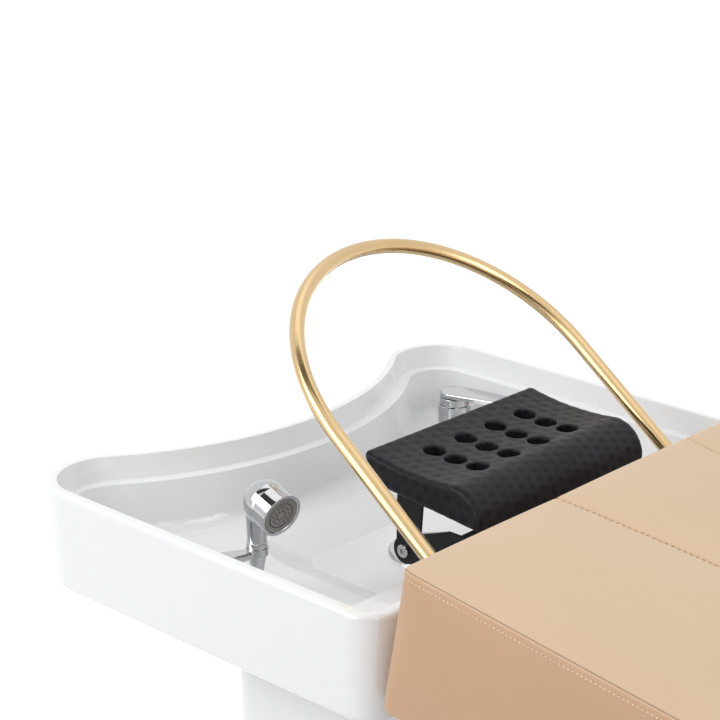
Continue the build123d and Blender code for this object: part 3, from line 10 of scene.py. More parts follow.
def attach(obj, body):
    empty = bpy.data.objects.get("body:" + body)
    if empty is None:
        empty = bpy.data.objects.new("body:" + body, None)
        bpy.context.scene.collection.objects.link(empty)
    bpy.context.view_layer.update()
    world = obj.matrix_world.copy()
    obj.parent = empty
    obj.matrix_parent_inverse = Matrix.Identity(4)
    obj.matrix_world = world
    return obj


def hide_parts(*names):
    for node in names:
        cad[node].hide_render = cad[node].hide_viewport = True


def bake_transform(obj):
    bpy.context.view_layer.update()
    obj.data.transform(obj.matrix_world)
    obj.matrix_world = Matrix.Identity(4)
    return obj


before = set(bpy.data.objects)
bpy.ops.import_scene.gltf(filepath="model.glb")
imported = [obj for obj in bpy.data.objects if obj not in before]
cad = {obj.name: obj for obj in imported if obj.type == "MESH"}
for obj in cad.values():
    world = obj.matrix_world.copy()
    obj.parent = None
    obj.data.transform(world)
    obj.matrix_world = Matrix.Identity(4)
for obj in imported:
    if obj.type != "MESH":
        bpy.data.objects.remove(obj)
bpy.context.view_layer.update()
scene = bpy.context.scene

# The studio: a long lens looks down over the near side of the basin. Soft lamps stand left and right and
# hang overhead, and two cards light the metal only. Two dark screens, one behind the camera and one above,
# draw the dark lines in the metal. The floor and the air around are white.
camera_place = Vector((0.7046, -1.652, 1.505))
camera_right = Vector((0.7286, 0.6849, 0.0))
camera_up = Vector((-0.2180, 0.2319, 0.9479))
camera_back = camera_right.cross(camera_up)
lens_mm = 94.4
sensor_mm = 36


def in_scene(name, data):
    """New object with this data, linked into the scene."""
    made = bpy.data.objects.new(name, data)
    scene.collection.objects.link(made)
    return made


camera_data = bpy.data.cameras.new("studio_camera")
camera_data.lens = lens_mm
camera_data.sensor_width = sensor_mm
camera = in_scene("studio_camera", camera_data)
turned = Matrix((camera_right, camera_up, camera_back)).transposed().to_4x4()
camera.matrix_world = Matrix.Translation(camera_place) @ turned
scene.camera = camera
scene.view_settings.view_transform = "Standard"

stage_middle = Vector((-0.55, 0.0, 0.62))


def facing_stage(place):
    """Placing matrix of a lamp or screen that looks from place at the middle of the stage."""
    place = Vector(place)
    turn = (stage_middle - place).to_track_quat("-Z", "Y")
    return Matrix.Translation(place) @ turn.to_matrix().to_4x4()


def soft_lamp(name, place, width, height, watts, metal_only=False):
    """Rectangular soft lamp. One for metal only shows in metal and lights nothing else."""
    data = bpy.data.lights.new(name, "AREA")
    data.shape = "RECTANGLE"
    data.size = width
    data.size_y = height
    data.energy = watts
    lamp = in_scene(name, data)
    lamp.matrix_world = facing_stage(place)
    lamp.visible_camera = False
    if metal_only:
        lamp.visible_diffuse = False
        lamp.visible_transmission = False


soft_lamp("lamp_overhead", (-0.6, 0.3, 3.1), width=2.6, height=2.2, watts=9)
soft_lamp("lamp_left", (-1.9, -2.5, 2.3), width=1.6, height=1.8, watts=31)
soft_lamp("lamp_right", (2.3, -0.3, 2.3), width=1.6, height=1.4, watts=12)
soft_lamp("card_left", (-1.2, -3.0, 1.3), width=1.9, height=2.2, watts=32, metal_only=True)
soft_lamp("card_right", (2.5, -1.1, 1.7), width=1.7, height=2.0, watts=20, metal_only=True)

screen_tone = 0.08


def new_material(name):
    """Material made of nodes, with its nodes and its links."""
    material = bpy.data.materials.new(name)
    material.use_nodes = True
    return material, material.node_tree.nodes, material.node_tree.links


def flat_mesh(name, half_width, half_height, material):
    """Flat rectangle about the origin."""
    mesh = bpy.data.meshes.new(name)
    corners = [(x * half_width, y * half_height, 0) for x, y in ((-1, -1), (1, -1), (1, 1), (-1, 1))]
    mesh.from_pydata(corners, [], [(0, 1, 2, 3)])
    mesh.materials.append(material)
    return mesh


def dark_screen(name, place, half_width, half_height):
    """Black screen that shows in metal only, where it draws the dark lines."""
    screen = in_scene(name, flat_mesh(name, half_width, half_height, screen_black))
    screen.matrix_world = facing_stage(place)
    for ray in ("visible_camera", "visible_diffuse", "visible_transmission", "visible_shadow"):
        setattr(screen, ray, False)
    return screen


screen_black, nodes, links = new_material("screen_black")
shader = nodes["Principled BSDF"]
shader.inputs["Base Color"].default_value = (screen_tone, screen_tone, screen_tone, 1)
shader.inputs["Roughness"].default_value = 1
screen_behind = dark_screen("screen_behind", (1.55, -2.68, 1.55), 0.95, 1.5)
screen_above = dark_screen("screen_above", (-0.95, -0.5, 2.6), 0.35, 1.2)

floor_reach = 9
floor_tone = 0.72
floor_lift = 0.62
room_level = 0.77


def add_node(nodes, kind, values=None, **settings):
    """New node with its settings and with values on its own sockets."""
    made = nodes.new(kind)
    for setting, value in settings.items():
        setattr(made, setting, value)
    for socket, value in (values or {}).items():
        made.inputs[socket].default_value = value
    return made


def seen_by_eye(nodes, links):
    """One for rays that the camera, metal or glass sends out, zero for light that bounces."""
    path = nodes.new("ShaderNodeLightPath")
    first = add_node(nodes, "ShaderNodeMath", operation="MAXIMUM")
    links.new(path.outputs["Is Camera Ray"], first.inputs[0])
    links.new(path.outputs["Is Glossy Ray"], first.inputs[1])
    second = add_node(nodes, "ShaderNodeMath", operation="MAXIMUM")
    links.new(first.outputs[0], second.inputs[0])
    links.new(path.outputs["Is Transmission Ray"], second.inputs[1])
    return second.outputs[0]


floor_white, nodes, links = new_material("floor_white")
nodes.clear()
matt = add_node(nodes, "ShaderNodeBsdfDiffuse", {"Color": (floor_tone, floor_tone, floor_tone, 1)})
lift = nodes.new("ShaderNodeEmission")
lift_level = add_node(nodes, "ShaderNodeMath", {1: floor_lift}, operation="MULTIPLY")
links.new(seen_by_eye(nodes, links), lift_level.inputs[0])
links.new(lift_level.outputs[0], lift.inputs["Strength"])
both = nodes.new("ShaderNodeAddShader")
links.new(matt.outputs[0], both.inputs[0])
links.new(lift.outputs[0], both.inputs[1])
floor_out = nodes.new("ShaderNodeOutputMaterial")
links.new(both.outputs[0], floor_out.inputs["Surface"])
floor = in_scene("studio_floor", flat_mesh("studio_floor", floor_reach, floor_reach, floor_white))

air = bpy.data.worlds.new("studio_air")
scene.world = air
air.use_nodes = True
nodes, links = air.node_tree.nodes, air.node_tree.links
background = nodes["Background"]
background.inputs["Color"].default_value = (1, 1, 1, 1)
level = add_node(nodes, "ShaderNodeMapRange", {"To Min": room_level, "To Max": 1.0})
links.new(seen_by_eye(nodes, links), level.inputs["Value"])
links.new(level.outputs["Result"], background.inputs["Strength"])

# Shower hose: stainless spiral-wound hose, 13 mm over its windings, 0.74 m long. It hangs from the cone
# nut of the hand shower, goes through the gland in the basin floor, sags in the pedestal and comes up
# to the diverter block.
hose_route = (
    (-0.753, -0.275, 0.5758),
    (-0.753, -0.275, 0.478),
    (-0.750, -0.273, 0.372),
    (-0.735, -0.264, 0.275),
    (-0.695, -0.240, 0.205),
    (-0.640, -0.206, 0.176),
    (-0.583, -0.172, 0.198),
    (-0.543, -0.145, 0.258),
    (-0.524, -0.130, 0.330),
    (-0.524, -0.130, 0.396),
)
hose_outer = 0.0065
hose_groove = 0.0006
winding_pitch = 0.0026
hose_sides = 20


def finish(
    name,
    pale,
    deep,
    gloss,
    cloud=6.0,
    grain=700.0,
    grain_depth=0.00004,
    metal=0.0,
    stretch=(1, 1, 1),
    coat=0.0,
    coat_gloss=0.05,
):
    """Finish that drifts between two close tones and two degrees of gloss, with a fine grain in relief."""
    material, nodes, links = new_material(name)
    shader = nodes["Principled BSDF"]
    place = nodes.new("ShaderNodeTexCoord")
    spread = add_node(nodes, "ShaderNodeMapping", {"Scale": stretch})
    links.new(place.outputs["Object"], spread.inputs["Vector"])

    def noise(scale, detail):
        """Cloudy pattern over the piece."""
        texture = add_node(nodes, "ShaderNodeTexNoise", {"Scale": scale, "Detail": detail})
        links.new(spread.outputs[0], texture.inputs["Vector"])
        return texture.outputs["Fac"]

    tones = nodes.new("ShaderNodeValToRGB")
    for element, position, tone in zip(tones.color_ramp.elements, (0.35, 0.65), (deep, pale)):
        element.position = position
        element.color = (*tone, 1)
    links.new(noise(cloud, detail=4), tones.inputs["Fac"])
    links.new(tones.outputs["Color"], shader.inputs["Base Color"])
    spans = {"From Min": 0.3, "From Max": 0.7, "To Min": gloss[0], "To Max": gloss[1]}
    gloss_range = add_node(nodes, "ShaderNodeMapRange", spans)
    links.new(noise(cloud * 7, detail=5), gloss_range.inputs["Value"])
    links.new(gloss_range.outputs["Result"], shader.inputs["Roughness"])
    bump = add_node(nodes, "ShaderNodeBump", {"Distance": grain_depth})
    links.new(noise(grain, detail=3), bump.inputs["Height"])
    links.new(bump.outputs["Normal"], shader.inputs["Normal"])
    shader.inputs["Metallic"].default_value = metal
    shader.inputs["Coat Weight"].default_value = coat
    shader.inputs["Coat Roughness"].default_value = coat_gloss
    return material


def dress(material, *names):
    """Gives CAD nodes their finish."""
    for name in names:
        for slot in cad[name].material_slots:
            slot.material = material


def piece(name, mesh, body, material=None):
    """New object of the bed that rides on a body and takes its finish from a material slot."""
    made = in_scene(name, mesh)
    if material is not None:
        mesh.materials.clear()
        mesh.materials.append(material)
    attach(made, body)
    return made


def worked_out(thing):
    """Plain mesh of an object with its modifiers applied."""
    return bpy.data.meshes.new_from_object(thing.evaluated_get(bpy.context.evaluated_depsgraph_get()))


route_curve = bpy.data.curves.new("hose_line", "CURVE")
route_curve.dimensions = "3D"
route_spline = route_curve.splines.new("NURBS")
route_spline.points.add(len(hose_route) - 1)
for point, place in zip(route_spline.points, hose_route):
    point.co = (*place, 1)
route_spline.order_u = 3
route_spline.use_endpoint_u = True
route_spline.resolution_u = 24
route_object = in_scene("hose_line", route_curve)
bpy.context.view_layer.update()
route_mesh = worked_out(route_object)
hose_line = np.array([v.co[:] for v in route_mesh.vertices])
bpy.data.objects.remove(route_object)

steps = np.linalg.norm(np.diff(hose_line, axis=0), axis=1)
along = np.concatenate([[0], np.cumsum(steps)])
hose_length = float(along[-1])
half_windings = int(hose_length / winding_pitch * 2)
stations = np.linspace(0, hose_length, half_windings + 1)
centres = np.stack([np.interp(stations, along, hose_line[:, axis]) for axis in range(3)], axis=1)
headings = np.gradient(centres, axis=0)
headings /= np.linalg.norm(headings, axis=1)[:, None]
side_ways = np.zeros_like(centres)
side_ways[0] = np.cross(headings[0], (0, 1, 0))
side_ways[0] /= np.linalg.norm(side_ways[0])
for i in range(1, len(centres)):
    carried = side_ways[i - 1] - headings[i] * np.dot(side_ways[i - 1], headings[i])
    side_ways[i] = carried / np.linalg.norm(carried)
up_ways = np.cross(headings, side_ways)
ring_radii = np.where(np.arange(len(centres)) % 2 == 0, hose_outer - hose_groove, hose_outer)
turns = np.linspace(0, 2 * np.pi, hose_sides, endpoint=False)
to_side = np.cos(turns)[None, :, None] * side_ways[:, None, :]
to_up = np.sin(turns)[None, :, None] * up_ways[:, None, :]
hose_points = (centres[:, None, :] + ring_radii[:, None, None] * (to_side + to_up)).reshape(-1, 3)
hose_faces = []
for i in range(len(centres) - 1):
    here, there = i * hose_sides, (i + 1) * hose_sides
    for j in range(hose_sides):
        k = (j + 1) % hose_sides
        hose_faces.append((here + j, here + k, there + k, there + j))
hose_faces.append(tuple(reversed(range(hose_sides))))
hose_faces.append(tuple(range((len(centres) - 1) * hose_sides, len(centres) * hose_sides)))
hose_mesh = bpy.data.meshes.new("spiral_hose")
hose_mesh.from_pydata(hose_points.tolist(), [], hose_faces)
hose_mesh.shade_smooth()
steel = finish(
    "stainless_steel",
    pale=(0.62, 0.63, 0.65),
    deep=(0.52, 0.53, 0.55),
    gloss=(0.2, 0.34),
    cloud=9,
    grain=500,
    grain_depth=0.00002,
    metal=1,
)
hose = in_scene("spiral_hose", hose_mesh)
hose_mesh.materials.append(steel)
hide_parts("shower_hose")
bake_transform(hose)

# Bed frame: square steel tubes, welded and powder coated fine black. Side rails bolt to the pedestal's
# rear wall, cross rails lie on them, and two braced legs carry the foot end on levelling feet.
black_coat = finish(
    "black_powder_coat",
    pale=(0.009, 0.009, 0.010),
    deep=(0.006, 0.006, 0.007),
    gloss=(0.34, 0.46),
    cloud=8,
    grain=900,
    grain_depth=0.00006,
)
black_coat.node_tree.nodes["Principled BSDF"].inputs["Specular IOR Level"].default_value = 0.25
dress(
    black_coat,
    "side_rail_near",
    "side_rail_far",
    "cross_rail_head",
    "cross_rail_middle",
    "cross_rail_foot",
    "leg_near",
    "leg_far",
    "leg_brace",
)
zinc = finish(
    "bright_zinc",
    pale=(0.66, 0.67, 0.68),
    deep=(0.55, 0.56, 0.58),
    gloss=(0.24, 0.4),
    cloud=30,
    grain=900,
    grain_depth=0.00003,
    metal=1,
)
dress(zinc, "frame_bolts", "levelling_feet", "deck_bolts", "deck_screws")

# Deck: an 18 mm plywood board under the mattress, face veneer running along the bed, screwed to the
# cross rails from above. Its edges show the plies.
ply_thickness = 0.002
ply_shade = 0.45

plywood = finish(
    "birch_plywood",
    pale=(0.48, 0.33, 0.19),
    deep=(0.36, 0.23, 0.12),
    gloss=(0.5, 0.68),
    cloud=5,
    grain=260,
    grain_depth=0.00012,
    stretch=(0.18, 2.2, 2.2),
)
nodes, links = plywood.node_tree.nodes, plywood.node_tree.links
shader = nodes["Principled BSDF"]
place = nodes.new("ShaderNodeTexCoord")
height = nodes.new("ShaderNodeSeparateXYZ")
links.new(place.outputs["Object"], height.inputs[0])
plies = add_node(nodes, "ShaderNodeMath", {1: ply_thickness}, operation="PINGPONG")
links.new(height.outputs["Z"], plies.inputs[0])
spans = {"From Min": 0, "From Max": ply_thickness, "To Min": ply_shade, "To Max": 1}
ply_line = add_node(nodes, "ShaderNodeMapRange", spans)
links.new(plies.outputs[0], ply_line.inputs["Value"])
way = nodes.new("ShaderNodeSeparateXYZ")
links.new(place.outputs["Normal"], way.inputs[0])
on_face = add_node(nodes, "ShaderNodeMath", operation="ABSOLUTE")
links.new(way.outputs["Z"], on_face.inputs[0])
edge_only = add_node(nodes, "ShaderNodeMath", operation="MAXIMUM")
links.new(on_face.outputs[0], edge_only.inputs[0])
links.new(ply_line.outputs["Result"], edge_only.inputs[1])
grey_ply = add_node(nodes, "ShaderNodeMix", data_type="RGBA", blend_type="MULTIPLY")
grey_ply.inputs["Factor"].default_value = 1
veneer = shader.inputs["Base Color"].links[0].from_socket
links.new(veneer, grey_ply.inputs["A"])
links.new(edge_only.outputs[0], grey_ply.inputs["B"])
links.new(grey_ply.outputs["Result"], shader.inputs["Base Color"])
dress(plywood, "deck_board")

# Pedestal: folded sheet steel box with rounded corners, powder coated smooth white, a flush service door
# on steel hinges at the head end, a black base plate inside and a rubber seal under the basin.
white_coat = finish(
    "white_powder_coat",
    pale=(0.86, 0.865, 0.87),
    deep=(0.83, 0.835, 0.84),
    gloss=(0.28, 0.36),
    cloud=3,
    grain=420,
    grain_depth=0.00003,
    coat=0.15,
)
dress(white_coat, "pedestal_shell", "pedestal_door")
dress(black_coat, "base_plate")
rubber = finish(
    "black_rubber",
    pale=(0.03, 0.03, 0.03),
    deep=(0.018, 0.018, 0.018),
    gloss=(0.6, 0.75),
    cloud=12,
    grain=1200,
    grain_depth=0.00008,
)
dress(rubber, "basin_seal")
dress(steel, "door_hinges")
chrome = finish(
    "polished_chrome",
    pale=(0.55, 0.555, 0.57),
    deep=(0.49, 0.495, 0.51),
    gloss=(0.05, 0.09),
    cloud=10,
    grain=60,
    grain_depth=0.00001,
    metal=1,
)
dress(chrome, "door_knob")

# Basin: one cast shell in glossy white glaze, with a rounded rim, a ledge all round, steep walls and a
# dished floor. It stands on the pedestal and takes the mixer, the hand shower and the arch.
glaze = finish(
    "white_glaze",
    pale=(0.865, 0.87, 0.875),
    deep=(0.845, 0.85, 0.858),
    gloss=(0.16, 0.22),
    cloud=2.5,
    grain=16,
    grain_depth=0.0004,
    coat=0.5,
    coat_gloss=0.03,
)
dress(glaze, "basin_shell")

# Drain: chromed flange and lift-out strainer in the dish, a moulded white nut, cup and trap below, with
# the waste spigot through the pedestal's rear wall.
dress(chrome, "drain_flange", "drain_strainer")
moulded_white = finish(
    "moulded_white_plastic",
    pale=(0.72, 0.72, 0.70),
    deep=(0.66, 0.66, 0.64),
    gloss=(0.38, 0.5),
    cloud=9,
    grain=600,
    grain_depth=0.00004,
)
dress(moulded_white, "drain_nut", "trap_cup", "drain_trap")

# Water pipes: copper tube from the hot and cold inlets at the rear to the mixer, and mixed water on to
# the brass diverter block, with brass nipples and nuts.
brass = finish(
    "machined_brass",
    pale=(0.62, 0.42, 0.16),
    deep=(0.52, 0.34, 0.12),
    gloss=(0.2, 0.36),
    cloud=20,
    grain=500,
    grain_depth=0.00004,
    metal=1,
)
dress(brass, "inlet_nipples", "inlet_nuts", "gland_nut", "mixer_nut", "diverter_valve")
copper = finish(
    "copper_tube",
    pale=(0.70, 0.36, 0.22),
    deep=(0.55, 0.26, 0.15),
    gloss=(0.22, 0.4),
    cloud=14,
    grain=300,
    grain_depth=0.00004,
    metal=1,
)
dress(copper, "hot_pipe", "cold_pipe", "mixed_pipe", "arch_feed_pipe")

# Water arch: 19 mm tube bent to a half circle on two straight legs, plated satin gold, with a row of
# fine spray holes inside the bend. Its hubs pinch on pins between the cheeks of two bearing blocks.
gold = finish(
    "satin_gold",
    pale=(0.70, 0.495, 0.25),
    deep=(0.64, 0.45, 0.215),
    gloss=(0.21, 0.27),
    cloud=7,
    grain=900,
    grain_depth=0.00002,
    metal=1,
    coat=1.0,
    coat_gloss=0.09,
)
dress(gold, "arch_tube", "arch_hub_near", "arch_hub_far")
dress(gold, "arch_bearing_near", "arch_bearing_far", "arch_pins")

# Mixer: chromed brass body on the basin floor, a swivelling cap with a red dot set in it, and a flat
# oval lever that lifts on a pin.
dress(chrome, "mixer_body", "mixer_cap", "mixer_lever")
red_enamel = finish(
    "red_enamel",
    pale=(0.62, 0.02, 0.015),
    deep=(0.52, 0.012, 0.01),
    gloss=(0.12, 0.2),
    cloud=40,
    grain=900,
    grain_depth=0.00001,
    coat=0.5,
)
dress(red_enamel, "mixer_dot")

# Hand shower: chromed head, bezel, collar and cone nut, a smoked spray face with soft nozzles, and the
# chamfered holder arm on the near wall of the basin. The gland in the floor is chromed too.
face_centre = Vector((-0.712, -0.275, 0.6556))
face_yaw = math.radians(-5.5)
face_pitch = math.radians(15.7)
face_depth = 0.0008
nozzle_rings = ((0.006, 6), (0.011, 12), (0.016, 18))
nozzle_radius = 0.00082
nozzle_rise = 0.0011
nozzle_taper = 0.6
nozzle_sides = 10

dress(chrome, "handset_body", "handset_bezel", "handset_collar")
dress(chrome, "hose_nut", "handset_holder", "hose_gland")
smoked = finish(
    "smoked_face",
    pale=(0.26, 0.245, 0.23),
    deep=(0.20, 0.19, 0.18),
    gloss=(0.06, 0.1),
    cloud=30,
    grain=700,
    grain_depth=0.00001,
    metal=0.7,
    coat=0.5,
)
dress(smoked, "spray_face")
silicone = finish(
    "grey_silicone",
    pale=(0.075, 0.072, 0.07),
    deep=(0.05, 0.05, 0.05),
    gloss=(0.45, 0.6),
    cloud=40,
    grain=900,
    grain_depth=0.00002,
)


def node_group(name, takes, gives):
    """Tree of geometry nodes with its named inputs and its output, and the nodes at its two ends."""
    tree = bpy.data.node_groups.new(name, "GeometryNodeTree")
    for label, kind in takes:
        tree.interface.new_socket(label, in_out="INPUT", socket_type=f"NodeSocket{kind}")
    tree.interface.new_socket(gives, in_out="OUTPUT", socket_type="NodeSocketGeometry")
    return tree, tree.nodes.new("NodeGroupInput"), tree.nodes.new("NodeGroupOutput")


def made_by_nodes(name, start_mesh, tree, values):
    """Plain mesh that a node tree makes from a start mesh, with its named sizes."""
    holder = in_scene(name, start_mesh)
    modifier = holder.modifiers.new(name, "NODES")
    modifier.node_group = tree
    for item in tree.interface.items_tree:
        if item.in_out == "INPUT" and item.name in values:
            modifier[item.identifier] = values[item.name]
    mesh = worked_out(holder)
    holder.modifiers.remove(modifier)
    bpy.data.objects.remove(holder)
    mesh.name = name
    return mesh


nozzle_sizes = (
    ("Nozzle Places", "Geometry"),
    ("Nozzle Radius", "Float"),
    ("Nozzle Rise", "Float"),
    ("Face Way", "Vector"),
    ("Nozzle Finish", "Material"),
)
nozzle_tree, given, result = node_group("spray_nozzles", nozzle_sizes, "Nozzles")
nodes, links = nozzle_tree.nodes, nozzle_tree.links
tip = add_node(nodes, "GeometryNodeMeshCone", {"Vertices": nozzle_sides})
links.new(given.outputs["Nozzle Radius"], tip.inputs["Radius Bottom"])
narrow = add_node(nodes, "ShaderNodeMath", {1: nozzle_taper}, operation="MULTIPLY")
links.new(given.outputs["Nozzle Radius"], narrow.inputs[0])
links.new(narrow.outputs[0], tip.inputs["Radius Top"])
links.new(given.outputs["Nozzle Rise"], tip.inputs["Depth"])
turn_to_face = add_node(nodes, "FunctionNodeAlignRotationToVector", axis="Z")
links.new(given.outputs["Face Way"], turn_to_face.inputs["Vector"])
spread_tips = nodes.new("GeometryNodeInstanceOnPoints")
links.new(given.outputs["Nozzle Places"], spread_tips.inputs["Points"])
links.new(tip.outputs["Mesh"], spread_tips.inputs["Instance"])
links.new(turn_to_face.outputs["Rotation"], spread_tips.inputs["Rotation"])
real_tips = nodes.new("GeometryNodeRealizeInstances")
links.new(spread_tips.outputs["Instances"], real_tips.inputs["Geometry"])
tip_finish = nodes.new("GeometryNodeSetMaterial")
links.new(real_tips.outputs["Geometry"], tip_finish.inputs["Geometry"])
links.new(given.outputs["Nozzle Finish"], tip_finish.inputs["Material"])
links.new(tip_finish.outputs["Geometry"], result.inputs["Nozzles"])

face_way = Vector(
    (
        math.cos(face_yaw) * math.cos(face_pitch),
        math.sin(face_yaw) * math.cos(face_pitch),
        -math.sin(face_pitch),
    )
)
face_turn = face_way.to_track_quat("Z", "Y")
nozzle_places = []
for ring_radius, count in nozzle_rings:
    for n in range(count):
        angle = 2 * math.pi * n / count
        flat = Vector((ring_radius * math.cos(angle), ring_radius * math.sin(angle), 0))
        nozzle_places.append(face_centre - face_way * face_depth + face_turn @ flat)
places_mesh = bpy.data.meshes.new("nozzle_places")
places_mesh.from_pydata([tuple(p) for p in nozzle_places], [], [])
nozzle_values = {
    "Nozzle Radius": nozzle_radius,
    "Nozzle Rise": nozzle_rise,
    "Face Way": face_way,
    "Nozzle Finish": silicone,
}
nozzle_mesh = made_by_nodes("spray_nozzles", places_mesh, nozzle_tree, nozzle_values)
piece("spray_nozzles", nozzle_mesh, "handset")

# Neck rest arms: black steel plates and a cross tray bolted to the tap deck, powder coated, with a plate
# under the pad that pivots on two chromed hexagon-socket bolts.
dress(black_coat, "headrest_arm_near", "headrest_arm_far", "cross_tray", "neck_rest_plate")
dress(chrome, "neck_rest_bolts")
dress(steel, "pad_screws")

# Neck rest pad: soft black polyurethane, moulded in one with twelve through holes and small dimples
# pressed into its skin all over, held to its plate by screws from below.
pad_grain = 0.0015
pad_smoothing = 8
pad_stretch = 1.028
pad_tilt = math.radians(5.6)
pad_middle = Vector((-0.595, 0, 0.65975))
pad_crown_height = 0.0424
pad_crown_place = 0.042
pad_head_edge = -0.100
pad_shine = 0.16
dimple_pitch_along = 0.0167
dimple_pitch_across = 0.0165
dimple_start = -0.080
dimple_radius = 0.0062
dimple_rim = 0.0026
dimple_depth = 0.00035
painted_hollow_tone = (0.009, 0.009, 0.011, 1)


def read_vectors(items, field):
    """Rows of three numbers, one for each item of a mesh."""
    numbers = np.empty(len(items) * 3)
    items.foreach_get(field, numbers)
    return numbers.reshape(-1, 3)


def mark_points(mesh, name, numbers):
    """Keeps one number for each point of a mesh, for its finish to read."""
    mesh.attributes.new(name, "FLOAT", "POINT").data.foreach_set("value", numbers)


pad_mesh = cad["neck_rest_pad"].data.copy()
pad_mesh.name = "neck_rest_skin"
workshop = bmesh.new()
workshop.from_mesh(pad_mesh)
bmesh.ops.remove_doubles(workshop, verts=workshop.verts, dist=0.00001)
workshop.to_mesh(pad_mesh)
workshop.free()
pad_start = in_scene("neck_rest_start", pad_mesh)
remesh = pad_start.modifiers.new("even_skin", "REMESH")
remesh.mode = "VOXEL"
remesh.voxel_size = pad_grain
remesh.adaptivity = 0
ease = pad_start.modifiers.new("soft_edges", "SMOOTH")
ease.factor = 0.5
ease.iterations = pad_smoothing
pad_mesh = worked_out(pad_start)
bpy.data.objects.remove(pad_start)
pad_mesh.name = "neck_rest_skin"

points = read_vectors(pad_mesh.vertices, "co")
ways = read_vectors(pad_mesh.vertex_normals, "vector")
along_pad = np.array((math.cos(pad_tilt), 0, -math.sin(pad_tilt)))
over_pad = np.array((math.sin(pad_tilt), 0, math.cos(pad_tilt)))
points[:, 1] *= pad_stretch
local = points - np.array(pad_middle)
along_place, across_place, over_place = local @ along_pad, local[:, 1], local @ over_pad
along_way, across_way, over_way = np.abs(ways @ along_pad), np.abs(ways[:, 1]), np.abs(ways @ over_pad)
on_side = (across_way > along_way) & (across_way > over_way)
drop = np.clip(pad_crown_height - over_place, 0, None)
first = along_place + np.where(~on_side & (along_place > pad_crown_place), drop, 0)
first -= np.where(~on_side & (along_place < pad_head_edge), drop, 0)
second = across_place + np.where(on_side, np.sign(across_place) * drop, 0)
column = np.round(second / dimple_pitch_across - 0.5)
start = dimple_start + np.where(np.mod(column, 2) == 0, 0.0, 0.5) * dimple_pitch_along
row = np.round((first - start) / dimple_pitch_along)
away_along = first - start - row * dimple_pitch_along
away_across = second - (column + 0.5) * dimple_pitch_across
dip = np.clip((dimple_radius - np.hypot(away_along, away_across)) / dimple_rim, 0, 1)
dip = dip**2 * (3 - 2 * dip)
points -= ways * (dip * dimple_depth)[:, None]
pad_mesh.vertices.foreach_set("co", points.ravel())
pad_mesh.update()
mark_points(pad_mesh, "dimple_shade", dip)
pad_mesh.shade_smooth()

skin = finish(
    "polyurethane_skin",
    pale=(0.018, 0.018, 0.022),
    deep=(0.013, 0.013, 0.016),
    gloss=(0.36, 0.46),
    cloud=14,
    grain=1100,
    grain_depth=0.00010,
)
nodes, links = skin.node_tree.nodes, skin.node_tree.links
shader = nodes["Principled BSDF"]
shader.inputs["Specular IOR Level"].default_value = pad_shine
# Painted shade: the base colour darkens inside the dimples, where shade falls in the hollows.
in_dimple = add_node(nodes, "ShaderNodeAttribute", attribute_name="dimple_shade")
hollow_shading = add_node(nodes, "ShaderNodeMix", {"B": painted_hollow_tone}, data_type="RGBA")
links.new(in_dimple.outputs["Fac"], hollow_shading.inputs["Factor"])
links.new(shader.inputs["Base Color"].links[0].from_socket, hollow_shading.inputs["A"])
links.new(hollow_shading.outputs["Result"], shader.inputs["Base Color"])
neck_pad = piece("neck_rest_skin", pad_mesh, "neck_rest", skin)
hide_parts("neck_rest_pad")

# Mattress: firm foam in beige artificial leather, three long panels sewn into a boxed border. The foam
# presses the cover out between its seams. Seams are sunk, with top-stitching below the edge seam.
pad_foot_x = 1.056
pad_head_x = -0.471
pad_bottom = 0.538
pad_length = pad_foot_x - pad_head_x
head_rise = 0.174
flat_rise = 0.097
slope_length = 0.640
bend_reach = 0.07
half_width = 0.376
head_lean = math.radians(10)
seam_y = 0.125
seam_y_later = 0.102
seam_run = 0.42
top_round = 0.0025
bottom_round = 0.006
corner_round = 0.012
crown_start = 0.001
stitch_drop = 0.009
foam_pressure = 4
settling_frames = 20
swell_cap = 0.007
seam_sink = 0.004
edge_sink = 0.0014
long_seam_shade = 0.3
edge_seam_shade = 1.0
edge_steps = (0, 0.003, 0.008, 0.018, 0.034)
seam_steps = (0, 0.0025, 0.007, 0.015, 0.028)
drops = (0, 0.0022, 0.005, stitch_drop, 0.018)
row_pitch_along = 0.024
row_pitch_across = 0.022
border_levels = 13


def rows_between(low, high, near_low, near_high, pitch):
    """Places from low to high, close together at both ends and evenly spread between."""
    start = [low + d for d in near_low]
    end = [high - d for d in reversed(near_high)]
    gaps = max(1, round((end[0] - start[-1]) / pitch))
    middle = [start[-1] + (end[0] - start[-1]) * n / gaps for n in range(1, gaps)]
    return start + middle + end


rows_x = rows_between(0, pad_length, edge_steps, edge_steps, row_pitch_along)
panel = rows_between(-half_width, -seam_y, edge_steps, seam_steps, row_pitch_across)
middle_panel = rows_between(-seam_y, seam_y, seam_steps, seam_steps, row_pitch_across)
rows_y = panel[:-1] + middle_panel[:-1] + [-y for y in reversed(panel)]
last_x, last_y, last_z = len(rows_x) - 1, len(rows_y) - 1, border_levels - 1


def top_rise(x):
    """Height of the top over the bottom, x from the head end."""
    if x <= slope_length:
        plain = head_rise + (flat_rise - head_rise) * x / slope_length
    else:
        plain = flat_rise
    bend = abs(x - slope_length)
    if bend < bend_reach:
        fall = (head_rise - flat_rise) / slope_length
        plain += fall * (bend_reach - bend) ** 2 / (4 * bend_reach)
    return plain


def level_height(k, rise):
    """Height of level k of the border: close together below the edge seam, even further down."""
    if k > last_z - len(drops):
        return rise - drops[last_z - k]
    share = k / (last_z - len(drops) + 1)
    return (rise - drops[-1]) * share


def drawn_in(x, y):
    """Place across after the long seams draw together away from the head end."""
    share = min(1, x / seam_run)
    seam_here = seam_y + (seam_y_later - seam_y) * share * (2 - share)
    if abs(y) <= seam_y:
        return y * seam_here / seam_y
    from_side = (half_width - abs(y)) * (half_width - seam_here) / (half_width - seam_y)
    return math.copysign(half_width - from_side, y)


